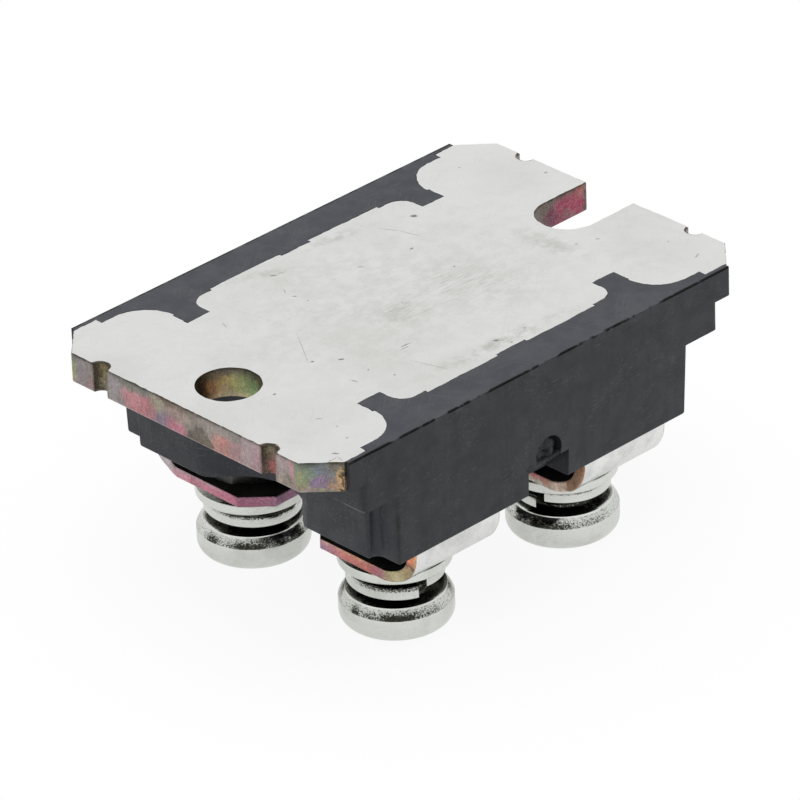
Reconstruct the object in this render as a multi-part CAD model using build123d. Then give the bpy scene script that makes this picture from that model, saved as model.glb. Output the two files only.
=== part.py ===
"""Fast recovery diode module with an isolated base, lying on its terminal screws.

The module is a plated copper base plate with a moulded black housing on one side.
Four folded terminals carry loose nuts and screws, and two diodes are sealed inside.
It lies as it does on a bench after unpacking: base plate up, on its four screw heads.

Frame, in millimetres: the origin is on the surface that it lies on, under the middle
of the base plate. +X points to the open slot, +Z up to the base plate's outer face.
"""
from build123d import *
from math import cos, pi, radians, sin
import os

os.makedirs("parts", exist_ok=True)

# Moulded body, which gives the module its width
body_width = 25.3
body_height = 9.2

# Base plate
plate_length = 38.1
plate_thickness = 2.1
plate_side_inset = 0.35
plate_corner_chamfer = 2.0
hole_from_end = 3.9
mount_hole_diameter = 4.25
slot_width = 4.3
tie_notch_radius = 0.6
tie_notch_from_side = 4.65

# Outline of the plate's window in the moulding, from the plate's end and the body's side
shoulder_from_end = 3.95
shoulder_step = 0.55
lobe_from_end = 5.05
lobe_radius = 2.7
lock_slot_from_end = 7.63
lock_slot_width = 1.92
lock_slot_depth = 4.95
strip_width = 2.93
middle_corner_radius = 1.2
middle_pad_setback = 0.8
middle_pad_rise = 0.21
middle_dip_length = 2.5

# Rim and blocks of the body, in from the plate's end and the body's side
rim_end_inset = 2.15
upper_block_inset = 3.25
upper_block_depth = 2.0
lower_block_inset = 5.25
corner_setback = 0.75
corner_setback_length = 1.95
mould_draft = 2.0
block_edge_radius = 0.35
body_bottom_radius = 0.2
# The bottom round is at most this many times the corner radius that the draft leaves there
bottom_round_limit = 1.2
recess_radius = 4.4
recess_flare_radius = 3.0

# Gate notch in one long side
gate_x = 0.35
gate_notch_width = 3.6
gate_notch_height = 2.0
gate_notch_depth = 2.2
gate_scar_diameter = 2.3
gate_scar_depth = 0.6
gate_scar_rise = 0.55
gate_stub_diameter = 1.5
gate_stub_tip_diameter = 1.0
gate_stub_length = 0.4

# Terminals
terminal_height = 12.05
terminal_from_hole = 7.65
terminal_side_inset = 0.43
screw_from_leg = 5.82
strap_thickness = 0.75
strap_width = 7.5
tab_width = 8.0
tab_end_gap = 4.1
tab_corner_clip = 1.75
tab_shoulder_from_leg = 1.62
tab_shoulder_length = 1.1
bend_radius = 2.6
foot_bend_radius = 1.2
foot_width = 3.8
foot_offset = 0.9
foot_end_y = 6.2
tab_slot_width = 4.3
tab_slot_length = 4.9

# Nuts, and their pockets in the housing
nut_across_flats = 7.0
nut_height = 3.2
nut_chamfer_height = 0.5
nut_face_diameter = 5.9
nut_play = 0.5
nut_top_gap = 0.2
screw_bore_diameter = 5.0
screw_bore_depth = 2.6

# Screws, backed off the terminals as the module is supplied
thread_diameter = 4.0
thread_gap = 0.06
screw_length = 8.0
screw_point = 0.5
screw_standoff = 3.05
head_diameter = 7.45
head_height = 2.6
head_shoulder = 0.62
head_rim_radius = 0.8
head_crown = 0.15
head_flat_diameter = 3.4
neck_fillet = 0.3
recess_wing_length = 4.3
recess_wing_width = 0.95
recess_depth = 1.7
recess_taper = 7.0
# How far each screw hangs from the middle of its terminal's slot, in X and Y
screw_hang = ((-0.10, -0.10), (0.13, 0.05), (-0.12, 0.24), (0.05, 0.10))

# Washers
flat_washer_diameter = 7.4
flat_washer_thickness = 0.7
spring_washer_diameter = 6.4
spring_washer_thickness = 0.85
spring_washer_rise = 0.6
spring_washer_slit = 11.0
washer_bore_gap = 0.05
washer_stack_gap = 0.02
# How far each screw's two washers stand off the neck fillet under its head
washer_lift = (0.15, 0.05, 0.0, 0.10)
# Direction in which each spring washer's slit faces, in degrees from +X
slit_direction = (-101.5, -161.5, 40.0, 75.0)

# Isolated substrate and diodes, sealed in the moulding
solder_thickness = 0.1
copper_thickness = 0.3
ceramic_cover = 1.45
ceramic_width = 18.6
ceramic_thickness = 0.63
copper_margin = 0.6
pad_gap = 0.8
pad_split_y = 3.0
chip_side = 5.6
chip_thickness = 0.35
chip_from_edge = 4.3
chip_y = -1.6
clip_thickness = 0.4
clip_width = 3.6
clip_foot_length = 1.6
clip_inset = 0.8
clip_foot_inset = 0.2
# Room that a cut runs past the face that it opens
overcut = 1.0

# Levels above the surface that the screw heads stand on
bearing_z = head_height
tab_outer_z = bearing_z + screw_standoff
tab_inner_z = tab_outer_z + strap_thickness
base_face_z = tab_outer_z + terminal_height
plate_inner_z = base_face_z - plate_thickness
body_bottom_z = base_face_z - body_height
upper_block_z = plate_inner_z - upper_block_depth
nut_top_z = tab_inner_z + nut_height
pocket_top_z = nut_top_z + nut_top_gap
screw_tip_z = bearing_z + screw_length
lower_copper_z = plate_inner_z - solder_thickness - copper_thickness
ceramic_z = lower_copper_z - ceramic_thickness
pad_z = ceramic_z - copper_thickness
foot_top_z = pad_z - solder_thickness
chip_top_z = pad_z - solder_thickness
chip_z = chip_top_z - chip_thickness

# Places in the +X +Y quarter
end_x = plate_length / 2
body_y = body_width / 2
plate_y = body_y - plate_side_inset
hole_x = end_x - hole_from_end
leg_y = body_y - terminal_side_inset
terminal_x = hole_x - terminal_from_hole
terminal_y = leg_y - screw_from_leg
tab_end_y = tab_end_gap / 2
ceramic_x = hole_x - recess_radius - ceramic_cover
ceramic_y = ceramic_width / 2
copper_x = ceramic_x - copper_margin
copper_y = ceramic_y - copper_margin
chip_x = copper_x - chip_from_edge
foot_x = terminal_x - foot_offset


def save(shape, name):
    """Write one sub-part."""
    shape.label = name
    export_step(shape, f"parts/{name}.step")


def slab(face, low, high):
    """A flat sketch made solid between two heights."""
    return Pos(0, 0, low) * extrude(face, high - low)


def block(x_low, x_high, y_low, y_high, z_low, z_high):
    """A plain block between its six planes."""
    face = Pos((x_low + x_high) / 2, (y_low + y_high) / 2) * Rectangle(x_high - x_low, y_high - y_low)
    return slab(face, z_low, z_high)


def quarters():
    """The four quarters of the module: terminal number, side in X, side in Y."""
    return (1, -1, -1), (2, 1, -1), (3, -1, 1), (4, 1, 1)


def mirrored_to(shape, side_x, side_y):
    """A shape drawn in the +X +Y quarter, carried to another quarter."""
    if side_x < 0:
        shape = mirror(shape, about=Plane.YZ)
    if side_y < 0:
        shape = mirror(shape, about=Plane.XZ)
    return shape


def plate_quarter():
    """One quarter of the plate's outline: end, corner, shoulder, lobe, lock slot and middle."""
    shoulder_x = end_x - shoulder_from_end
    lobe_x = end_x - lobe_from_end
    lobe_y = plate_y - shoulder_step
    lobe_end_x = lobe_x - lobe_radius
    kink_y = lobe_y - lobe_radius
    slot_outer_x = end_x - lock_slot_from_end
    slot_inner_x = slot_outer_x - lock_slot_width
    slot_floor_y = body_y - lock_slot_depth
    middle_y = body_y - strip_width
    corner_x = slot_inner_x - middle_corner_radius
    corner_y = middle_y - middle_corner_radius
    pad_x = corner_x - middle_pad_setback
    pad_y = middle_y + middle_pad_rise
    dip_x = middle_dip_length / 2
    half = sin(pi / 4)
    outline = [
        Polyline(
            (0, 0),
            (end_x, 0),
            (end_x, plate_y - plate_corner_chamfer),
            (end_x - plate_corner_chamfer, plate_y),
            (shoulder_x, plate_y),
            (shoulder_x, lobe_y),
            (lobe_x, lobe_y),
        ),
        ThreePointArc(
            (lobe_x, lobe_y),
            (lobe_x - lobe_radius * half, kink_y + lobe_radius * half),
            (lobe_end_x, kink_y),
        ),
        Polyline(
            (lobe_end_x, kink_y),
            (slot_outer_x, kink_y),
            (slot_outer_x, slot_floor_y),
            (slot_inner_x, slot_floor_y),
            (slot_inner_x, corner_y),
        ),
        ThreePointArc(
            (slot_inner_x, corner_y),
            (corner_x + middle_corner_radius * half, corner_y + middle_corner_radius * half),
            (corner_x, middle_y),
        ),
        Polyline(
            (corner_x, middle_y),
            (pad_x, middle_y),
            (pad_x, pad_y),
            (dip_x, pad_y),
            (dip_x, middle_y),
            (0, middle_y),
            (0, 0),
        ),
    ]
    quarter = make_face(outline)
    return quarter - Pos(end_x, plate_y - tie_notch_from_side) * Circle(tie_notch_radius)


def plate_outline():
    """The whole window outline, the same in all four quarters."""
    quarter = plate_quarter()
    half = quarter + mirror(quarter, about=Plane.YZ)
    return half + mirror(half, about=Plane.XZ)


def make_base_plate():
    """Stamped plate with a round hole at one end and an open slot at the other."""
    slot_end = Pos(hole_x, 0) * Circle(slot_width / 2)
    slot_mouth = Pos(hole_x + plate_length / 4, 0) * Rectangle(plate_length / 2, slot_width)
    face = plate_outline() - slot_end - slot_mouth - Pos(-hole_x, 0) * Circle(mount_hole_diameter / 2)
    return slab(face, plate_inner_z, base_face_z)


def recess_outline():
    """Plan of the recess round a mounting hole: a round root that flares into the end face."""
    face_x = end_x - lower_block_inset
    root_to_face = hole_x - face_x
    reach = recess_radius + recess_flare_radius
    flare_x = face_x - recess_flare_radius
    flare_y = (reach ** 2 - (root_to_face + recess_flare_radius) ** 2) ** 0.5
    meet_x = hole_x - (hole_x - flare_x) * recess_radius / reach
    meet_y = flare_y * recess_radius / reach
    outer_x = end_x + overcut
    wedge = make_face(Polyline(
        (hole_x, 0), (meet_x, meet_y), (face_x, flare_y), (outer_x, flare_y),
        (outer_x, -flare_y), (face_x, -flare_y), (meet_x, -meet_y), (hole_x, 0),
    ))
    wedge -= Pos(flare_x, flare_y) * Circle(recess_flare_radius)
    wedge -= Pos(flare_x, -flare_y) * Circle(recess_flare_radius)
    return wedge + Pos(hole_x, 0) * Circle(recess_radius)


def lower_block_outline():
    """Plan of the lower block: its four corners are set back from the end faces."""
    x = end_x - lower_block_inset
    corner_x = x - corner_setback
    corner_y = body_y - corner_setback_length
    outline = Rectangle(2 * x, 2 * corner_y) + Rectangle(2 * corner_x, 2 * body_y)
    return fillet(outline.vertices(), block_edge_radius)


def make_gate_notch():
    """Open notch in the -Y side where the moulding was fed, with the scar above it."""
    side_y = -body_y
    notch_top = body_bottom_z + gate_notch_height
    x_low = gate_x - gate_notch_width / 2
    x_high = gate_x + gate_notch_width / 2
    back_y = side_y + gate_notch_depth
    notch = block(x_low, x_high, side_y - overcut, back_y, body_bottom_z - overcut, notch_top)
    scar_z = notch_top + gate_scar_rise
    scar_depth = gate_scar_depth + body_height * sin(radians(mould_draft))
    along_y = Location((gate_x, side_y + scar_depth / 2, scar_z), (90, 0, 0))
    notch += along_y * Cylinder(gate_scar_diameter / 2, scar_depth)
    stub_at = Location((gate_x, side_y + scar_depth - gate_stub_length / 2, scar_z), (90, 0, 0))
    return notch - stub_at * Cone(gate_stub_diameter / 2, gate_stub_tip_diameter / 2, gate_stub_length)


def hexagon(across_flats):
    """A hexagon with its corners towards +X and -X."""
    return RegularPolygon(across_flats / 2, 6, major_radius=False)


def make_housing(sealed):
    """Moulded body: a rim round the plate and two blocks under it, formed over what it seals."""
    rim = slab(Rectangle(plate_length - 2 * rim_end_inset, body_width), plate_inner_z, base_face_z)
    upper = slab(Rectangle(plate_length - 2 * upper_block_inset, body_width), upper_block_z, plate_inner_z)
    upper = fillet(upper.edges().filter_by(Axis.Z), block_edge_radius)
    lower_depth = upper_block_z - body_bottom_z
    lower = extrude(lower_block_outline(), lower_depth, taper=mould_draft)
    drafted_radius = block_edge_radius - lower_depth * sin(radians(mould_draft))
    bottom_radius = min(body_bottom_radius, bottom_round_limit * drafted_radius)
    lower = fillet(lower.faces().sort_by(Axis.Z)[-1].edges(), bottom_radius)
    lower = Pos(0, 0, upper_block_z) * mirror(lower, about=Plane.XY)
    body = rim + upper + lower
    recess = slab(recess_outline(), body_bottom_z - overcut, plate_inner_z)
    body -= recess
    body -= mirror(recess, about=Plane.YZ)
    body -= slab(plate_outline(), plate_inner_z, base_face_z)
    body -= make_gate_notch()
    for _, side_x, side_y in quarters():
        at = Pos(side_x * terminal_x, side_y * terminal_y)
        body -= slab(at * hexagon(nut_across_flats + 2 * nut_play), body_bottom_z - overcut, pocket_top_z)
        body -= slab(at * Circle(screw_bore_diameter / 2), pocket_top_z, pocket_top_z + screw_bore_depth)
    for piece in sealed:
        body -= piece
    return body


def make_terminal():
    """Folded copper strap in the +X +Y quarter: foot on the substrate, leg, bend and tab."""
    t = strap_thickness
    outside = FilletPolyline(
        (foot_end_y, foot_top_z), (leg_y, foot_top_z), (leg_y, tab_outer_z), (tab_end_y, tab_outer_z),
        radius=[foot_bend_radius, bend_radius],
    )
    inside = FilletPolyline(
        (foot_end_y, foot_top_z - t), (leg_y - t, foot_top_z - t),
        (leg_y - t, tab_inner_z), (tab_end_y, tab_inner_z),
        radius=[foot_bend_radius - t, bend_radius - t],
    )
    foot_end = Line(outside @ 0, inside @ 0)
    tab_end = Line(outside @ 1, inside @ 1)
    side_view = make_face([outside, tab_end, inside, foot_end])
    strip = extrude(Plane.YZ.location * side_view, tab_width / 2, both=True)

    half_tab = tab_width / 2
    half_strap = strap_width / 2
    shoulder_y = leg_y - tab_shoulder_from_leg
    shoulder_end_y = shoulder_y - tab_shoulder_length
    clip_y = tab_end_y + tab_corner_clip
    far_y = leg_y + overcut
    half_plan = make_face(Polyline(
        (0, far_y), (half_strap, far_y), (half_strap, shoulder_y), (half_tab, shoulder_end_y),
        (half_tab, clip_y), (half_tab - tab_corner_clip, tab_end_y), (0, tab_end_y), (0, far_y),
    ))
    plan = half_plan + mirror(half_plan, about=Plane.YZ)
    strap = strip & slab(plan, tab_outer_z - overcut, plate_inner_z)
    slot = Pos(0, terminal_y) * Rot(0, 0, 90) * SlotOverall(tab_slot_length, tab_slot_width)
    strap -= slab(slot, tab_outer_z - overcut, tab_inner_z + overcut)
    foot_room_z = foot_top_z - foot_bend_radius - t
    foot_low_x = foot_x - terminal_x - foot_width / 2
    foot_high_x = foot_low_x + foot_width
    strap -= block(-tab_width, foot_low_x, 0, far_y, foot_room_z, plate_inner_z)
    strap -= block(foot_high_x, tab_width, 0, far_y, foot_room_z, plate_inner_z)
    return Pos(terminal_x, 0, 0) * strap


def make_nut():
    """Hexagon nut with both faces chamfered, standing on the tab at the origin of X and Y."""
    body = slab(hexagon(nut_across_flats), tab_inner_z, nut_top_z)
    corner = nut_across_flats / 2 / cos(radians(30))
    face = nut_face_diameter / 2
    barrel = make_face(Polyline(
        (0, tab_inner_z), (face, tab_inner_z), (corner, tab_inner_z + nut_chamfer_height),
        (corner, nut_top_z - nut_chamfer_height), (face, nut_top_z), (0, nut_top_z), (0, tab_inner_z),
    ))
    body &= revolve(Plane.XZ.location * barrel, Axis.Z)
    return body - slab(Circle(thread_diameter / 2 + thread_gap), tab_inner_z, nut_top_z)


def quarter_round(centre_r, centre_z, radius, start_angle):
    """Points of a quarter round in a screw's half section, which is drawn as a few facets."""
    facets = 3
    angles = [radians(start_angle + 90 * step / facets) for step in range(facets + 1)]
    return [(centre_r + radius * cos(a), centre_z + radius * sin(a)) for a in angles]


def make_screw():
    """Pan head screw, head down, with a rounded shoulder, a neck fillet and a cross recess."""
    rim = head_diameter / 2
    thread = thread_diameter / 2
    rim_round = quarter_round(rim - head_rim_radius, head_crown + head_rim_radius, head_rim_radius, -90)
    shoulder = quarter_round(rim - head_shoulder, bearing_z - head_shoulder, head_shoulder, 0)
    neck = quarter_round(thread + neck_fillet, bearing_z + neck_fillet, neck_fillet, 180)
    profile = make_face(Polyline(
        (0, 0), (head_flat_diameter / 2, 0), *rim_round, *shoulder, *reversed(neck),
        (thread, screw_tip_z - screw_point), (thread - screw_point, screw_tip_z), (0, screw_tip_z), (0, 0),
    ))
    body = revolve(Plane.XZ.location * profile, Axis.Z)
    wing = extrude(Rectangle(recess_wing_length, recess_wing_width), recess_depth, taper=recess_taper)
    cross = wing + Rot(0, 0, 90) * wing
    cone = Pos(0, 0, recess_depth / 2) * Cone(recess_wing_length / 2, recess_wing_width, recess_depth)
    return body - (cross & cone)


def make_flat_washer(low):
    """Plain washer standing at a height."""
    ring = Circle(flat_washer_diameter / 2) - Circle(thread_diameter / 2 + washer_bore_gap)
    return slab(ring, low, low + flat_washer_thickness)


def make_spring_washer(low, direction):
    """Split spring washer: one left-handed turn of square wire whose slit faces a direction."""
    inner = thread_diameter / 2 + washer_bore_gap
    outer = spring_washer_diameter / 2
    middle = (inner + outer) / 2
    turn = 360 - spring_washer_slit
    path = Helix(spring_washer_rise * 360 / turn, spring_washer_rise, middle, lefthand=True)
    wire = Rectangle(outer - inner, spring_washer_thickness)
    section = Plane(path @ 0, x_dir=(1, 0, 0), z_dir=path % 0) * wire
    coil = sweep(section, path, is_frenet=True)
    start = direction - spring_washer_slit / 2
    return Pos(0, 0, low + spring_washer_thickness / 2) * Rot(0, 0, start) * coil


def make_clip():
    """Copper clip in the +X half, from the top of a chip down to the anode pad beside it."""
    chip_level = chip_z - solder_thickness
    pad_level = pad_z - solder_thickness
    start_y = chip_y - chip_side / 2 + clip_inset
    chip_end_y = chip_y + chip_side / 2
    foot_y = pad_split_y + pad_gap / 2 + clip_foot_inset
    end_y = foot_y + clip_foot_length
    t = clip_thickness
    side_view = make_face(Polyline(
        (start_y, chip_level), (chip_end_y, chip_level), (foot_y, pad_level), (end_y, pad_level),
        (end_y, pad_level - t), (foot_y, pad_level - t), (chip_end_y, chip_level - t),
        (start_y, chip_level - t), (start_y, chip_level),
    ))
    strip = extrude(Plane.YZ.location * side_view, clip_width / 2, both=True)
    return Pos(chip_x, 0, 0) * strip


def make_electronics():
    """Every sealed piece by name: substrate layers, pads, chips, clips and their solder."""
    pieces = {
        "base_solder": block(-copper_x, copper_x, -copper_y, copper_y,
                             lower_copper_z + copper_thickness, plate_inner_z),
        "lower_copper": block(-copper_x, copper_x, -copper_y, copper_y,
                              lower_copper_z, lower_copper_z + copper_thickness),
        "ceramic_substrate": block(-ceramic_x, ceramic_x, -ceramic_y, ceramic_y, ceramic_z, lower_copper_z),
    }
    clip = make_clip()
    clip_box = clip.bounding_box()
    foot_y = pad_split_y + pad_gap / 2
    for number, side_x in ((1, -1), (2, 1)):
        low = pad_gap / 2
        half_chip = chip_side / 2
        half_clip = clip_width / 2
        drawn = {
            "cathode_pad": block(low, copper_x, -copper_y, pad_split_y - pad_gap / 2, pad_z, ceramic_z),
            "anode_pad": block(low, copper_x, foot_y, copper_y, pad_z, ceramic_z),
            "chip_solder": block(chip_x - half_chip, chip_x + half_chip, chip_y - half_chip,
                                 chip_y + half_chip, chip_top_z, pad_z),
            "diode_chip": block(chip_x - half_chip, chip_x + half_chip, chip_y - half_chip,
                                chip_y + half_chip, chip_z, chip_top_z),
            "clip_chip_solder": block(chip_x - half_clip, chip_x + half_clip, clip_box.min.Y,
                                      chip_y + half_chip - clip_inset, chip_z - solder_thickness, chip_z),
            "anode_clip": clip,
            "clip_pad_solder": block(chip_x - half_clip, chip_x + half_clip,
                                     clip_box.max.Y - clip_foot_length, clip_box.max.Y,
                                     pad_z - solder_thickness, pad_z),
        }
        for name, shape in drawn.items():
            pieces[f"{name}_{number}"] = mirrored_to(shape, side_x, 1)
    half_foot = foot_width / 2
    foot_solder = block(foot_x - half_foot, foot_x + half_foot, foot_end_y, copper_y, foot_top_z, pad_z)
    for number, side_x, side_y in quarters():
        pieces[f"foot_solder_{number}"] = mirrored_to(foot_solder, side_x, side_y)
    return pieces


electronics = make_electronics()
terminal = make_terminal()
terminals = {}
for number, side_x, side_y in quarters():
    terminals[f"terminal_{number}"] = mirrored_to(terminal, side_x, side_y)

housing = make_housing([*electronics.values(), *terminals.values()])
save(make_base_plate(), "base_plate")
save(housing, "housing")
for name, shape in {**electronics, **terminals}.items():
    save(shape, name)

nut = make_nut()
screw = make_screw()
for number, side_x, side_y in quarters():
    hang_x, hang_y = screw_hang[number - 1]
    at = Pos(side_x * terminal_x + hang_x, side_y * terminal_y + hang_y)
    spring_z = bearing_z + neck_fillet + washer_lift[number - 1]
    flat_z = spring_z + spring_washer_rise + spring_washer_thickness + washer_stack_gap
    save(at * nut, f"nut_{number}")
    save(at * screw, f"terminal_screw_{number}")
    save(at * make_flat_washer(flat_z), f"flat_washer_{number}")
    save(at * make_spring_washer(spring_z, slit_direction[number - 1]), f"spring_washer_{number}")
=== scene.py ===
"""Fast recovery diode module lying base up on its four terminal screws.

The sections follow the module as it is put together: stamped plate, sealed substrate,
moulding, folded terminals, nuts, screws and washers, then the floor, light and camera.
Sizes are in millimetres in the CAD's own frame, and MM turns them into metres.
"""
import math

import bmesh
import bpy
import numpy as np
from mathutils import Matrix, Vector
from mathutils.geometry import delaunay_2d_cdt


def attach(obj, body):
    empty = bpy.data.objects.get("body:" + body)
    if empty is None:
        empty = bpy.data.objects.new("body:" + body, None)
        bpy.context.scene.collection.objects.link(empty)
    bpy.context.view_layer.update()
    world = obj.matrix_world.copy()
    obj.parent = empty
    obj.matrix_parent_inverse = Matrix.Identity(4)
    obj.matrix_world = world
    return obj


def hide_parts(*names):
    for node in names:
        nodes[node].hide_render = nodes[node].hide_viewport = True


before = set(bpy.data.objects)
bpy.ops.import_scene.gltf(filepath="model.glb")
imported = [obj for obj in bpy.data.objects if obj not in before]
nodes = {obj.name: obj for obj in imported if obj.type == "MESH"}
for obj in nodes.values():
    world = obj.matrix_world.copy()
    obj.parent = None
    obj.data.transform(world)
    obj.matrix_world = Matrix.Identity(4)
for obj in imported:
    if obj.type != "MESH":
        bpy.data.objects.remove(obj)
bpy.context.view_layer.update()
MM = 0.001

# ---------------------------------------------------------------------------
# Base plate: copper strip, blanked to its outline in a press tool and then
# nickel plated, so its faces are bright and its sheared edges are left with
# thin coloured films. The face side keeps the burr, the inner side is rounded.
# ---------------------------------------------------------------------------
PLATE_TOP = 17.7
PLATE_THICKNESS = 2.1
PLATE_END_X = 19.05
PLATE_SIDE_Y = 12.3
PLATE_CORNER = 2.0
SHOULDER_X = 15.1
LOBE_X = 14.0
LOBE_Y = 11.75
LOBE_RADIUS = 2.7
LOCK_SLOT_X = (11.42, 9.50)
LOCK_SLOT_FLOOR_Y = 7.7
MIDDLE_Y = 9.72
MIDDLE_RADIUS = 1.2
PAD_X = 7.5
PAD_RISE = 0.21
DIP_X = 1.25
HOLE_X = 15.15
HOLE_RADIUS = 2.125
SLOT_HALF = 2.15
TIE_NOTCH_Y = 7.65
TIE_NOTCH_RADIUS = 0.6


def turn(centre, radius, start, end, count):
    """Points on a circle: the centre plus the radius times cosine and sine of even steps of angle."""
    angle = np.radians(np.linspace(start, end, count))
    return np.column_stack((centre[0] + radius * np.cos(angle), centre[1] + radius * np.sin(angle)))


def divided(loop, step):
    """A closed outline with every run cut into equal parts no longer than the step."""
    runs = np.roll(loop, -1, axis=0) - loop
    counts = np.maximum(1, np.ceil(np.hypot(*runs.T) / step)).astype(int)
    first = np.repeat(np.cumsum(counts) - counts, counts)
    share = (np.arange(counts.sum()) - first) / np.repeat(counts, counts)
    return np.repeat(loop, counts, axis=0) + share[:, None] * np.repeat(runs, counts, axis=0)


def outward(loop):
    """Mitre at each point of a loop that keeps the metal on its left: the sum of the normals of
    its two runs, over one plus their dot product, so an offset keeps the runs parallel."""
    runs = np.roll(loop, -1, axis=0) - loop
    normal = np.column_stack((runs[:, 1], -runs[:, 0])) / np.hypot(*runs.T)[:, None]
    before = np.roll(normal, 1, axis=0)
    share = 1 + np.sum(before * normal, axis=1)
    return (before + normal) / np.maximum(share, 0.5)[:, None]


def waviness(count, reach, seed):
    """Smooth closed noise of mean 0 and spread 1: white noise times a bell curve in frequency."""
    white = np.random.default_rng(seed).normal(size=count)
    bell = np.exp(-(np.fft.fftfreq(count) * reach) ** 2)
    smooth = np.fft.ifft(np.fft.fft(white) * bell).real
    return smooth / smooth.std()


def bell(value, centre, reach):
    """A soft patch: e to the minus square of the distance from the centre over its reach."""
    return np.exp(-((value - centre) / reach) ** 2)


def grid_faces(rows, columns, around=True):
    """Four-sided faces between the rows of a grid of points, closed round its columns or open."""
    row, column = np.meshgrid(np.arange(rows - 1), np.arange(columns if around else columns - 1),
                              indexing="ij")
    after = (column + 1) % columns
    corners = (row * columns + column, row * columns + after,
               (row + 1) * columns + after, (row + 1) * columns + column)
    return np.stack(corners, axis=-1).reshape(-1, 4)


def inside(points, loops):
    """Even-odd rule: a point is inside when a ray from it to +X crosses the loops an odd number of times."""
    start = np.concatenate(loops)
    end = np.concatenate([np.roll(loop, -1, axis=0) for loop in loops])
    px, py = points[:, :1], points[:, 1:2]
    spans = (start[:, 1] > py) != (end[:, 1] > py)
    rise = np.where(end[:, 1] == start[:, 1], 1.0, end[:, 1] - start[:, 1])
    cross_x = start[:, 0] + (py - start[:, 1]) / rise * (end[:, 0] - start[:, 0])
    return (np.sum(spans & (px < cross_x), axis=1) % 2).astype(bool)


def cap_triangles(loops, extra):
    """Triangles between closed loops: a Delaunay net that keeps the loops' runs as its edges."""
    points = np.concatenate([*loops, extra])
    firsts = np.cumsum([0] + [len(loop) for loop in loops])
    edges = np.concatenate([
        np.column_stack((np.arange(len(loop)), (np.arange(len(loop)) + 1) % len(loop))) + first
        for loop, first in zip(loops, firsts)
    ])
    out = delaunay_2d_cdt([Vector(p) for p in points.tolist()], edges.tolist(), [], 0, 1e-6)
    net, origin = np.array([tuple(p) for p in out[0]]), np.array([ids[0] for ids in out[3]])
    triangles = np.array(out[2])
    middle = net[triangles].mean(axis=1)
    return origin[triangles[inside(middle, loops)]]


def sheet(loops, levels, extra=np.zeros((0, 2))):
    """A sheet cut to closed loops, as points (u, v, depth), wall faces and cap faces.
    Each level moves every loop inwards by its own amount at its own depth, and a net of
    triangles closes the first and the last level."""
    rings, walls, first = [], [], 0
    for loop, inset in loops:
        out = outward(loop)
        levels_here = [(depth, amount + (inset if level == 0 else 0))
                       for level, (depth, amount) in enumerate(levels)]
        stack = [np.column_stack((loop - out * np.reshape(amount, (-1, 1)), np.full(len(loop), depth)))
                 for depth, amount in levels_here]
        rings.append(np.concatenate(stack))
        walls.append(grid_faces(len(levels), len(loop)) + first)
        first += len(rings[-1])
    caps = []
    for level in (0, len(levels) - 1):
        edge, index = [], []
        start = 0
        for loop_and_inset, ring in zip(loops, rings):
            count = len(loop_and_inset[0])
            edge.append(ring[level * count:(level + 1) * count, :2])
            index.append(start + level * count + np.arange(count))
            start += len(ring)
        index.append(first + np.arange(len(extra)))
        caps.append(np.concatenate(index)[cap_triangles(edge, extra)])
        if len(extra):
            rings.append(np.column_stack((extra, np.full(len(extra), levels[level][0]))))
            first += len(extra)
    return np.concatenate(rings), np.concatenate(walls), np.concatenate(caps)


def make_piece(name, points, faces, materials, kinds=None, smooth=35.0, **attributes):
    """A mesh object from points in millimetres and arrays of faces: doubles are merged, the
    faces are turned outwards, and edges stay crisp where they are sharper than the smooth angle
    or where two materials meet. An attribute is a number or a colour at each point."""
    mesh = bpy.data.meshes.new(name)
    mesh.from_pydata((points * MM).tolist(), [], [face for part in faces for face in part.tolist()])
    if kinds is not None:
        index = np.repeat(kinds, [len(part) for part in faces])
        mesh.polygons.foreach_set("material_index", index.astype(np.int32))
    for attribute, values in attributes.items():
        coloured = values.ndim == 2
        layer = mesh.attributes.new(attribute, "FLOAT_COLOR" if coloured else "FLOAT", "POINT")
        if coloured:
            values = np.column_stack((values, np.ones(len(values))))
        layer.data.foreach_set("color" if coloured else "value", values.astype(np.float32).ravel())
    shell = bmesh.new()
    shell.from_mesh(mesh)
    bmesh.ops.remove_doubles(shell, verts=shell.verts, dist=0.0005 * MM)
    bmesh.ops.recalc_face_normals(shell, faces=shell.faces)
    shell.to_mesh(mesh)
    shell.free()
    mesh.shade_smooth()
    mesh.set_sharp_from_angle(angle=math.radians(smooth))
    if kinds is not None:
        edge_of, kind_of = np.empty(len(mesh.loops), np.int32), np.empty(len(mesh.polygons), np.int32)
        corners, crisp = np.empty(len(mesh.polygons), np.int32), np.empty(len(mesh.edges), bool)
        mesh.loops.foreach_get("edge_index", edge_of)
        mesh.polygons.foreach_get("material_index", kind_of)
        mesh.polygons.foreach_get("loop_total", corners)
        mesh.edges.foreach_get("use_edge_sharp", crisp)
        kind_at = np.repeat(kind_of, corners)
        least, most = np.full(len(crisp), len(materials)), np.full(len(crisp), -1)
        np.minimum.at(least, edge_of, kind_at)
        np.maximum.at(most, edge_of, kind_at)
        mesh.edges.foreach_set("use_edge_sharp", crisp | (least < most))
    for material in materials:
        mesh.materials.append(material)
    piece = bpy.data.objects.new(name, mesh)
    bpy.context.scene.collection.objects.link(piece)
    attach(piece, "root")
    return piece


def add(tree, kind, inputs=None, **settings):
    """One shader node, with its settings, and each input set to a value or joined to an output."""
    node = tree.nodes.new(kind)
    for name, value in settings.items():
        setattr(node, name, value)
    for key, value in (inputs or {}).items():
        if isinstance(value, bpy.types.NodeSocket):
            tree.links.new(value, node.inputs[key])
        else:
            node.inputs[key].default_value = value
    return node


def math_node(tree, operation, *values):
    """The output of one Math node."""
    return add(tree, "ShaderNodeMath", dict(enumerate(values)), operation=operation).outputs[0]


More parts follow.
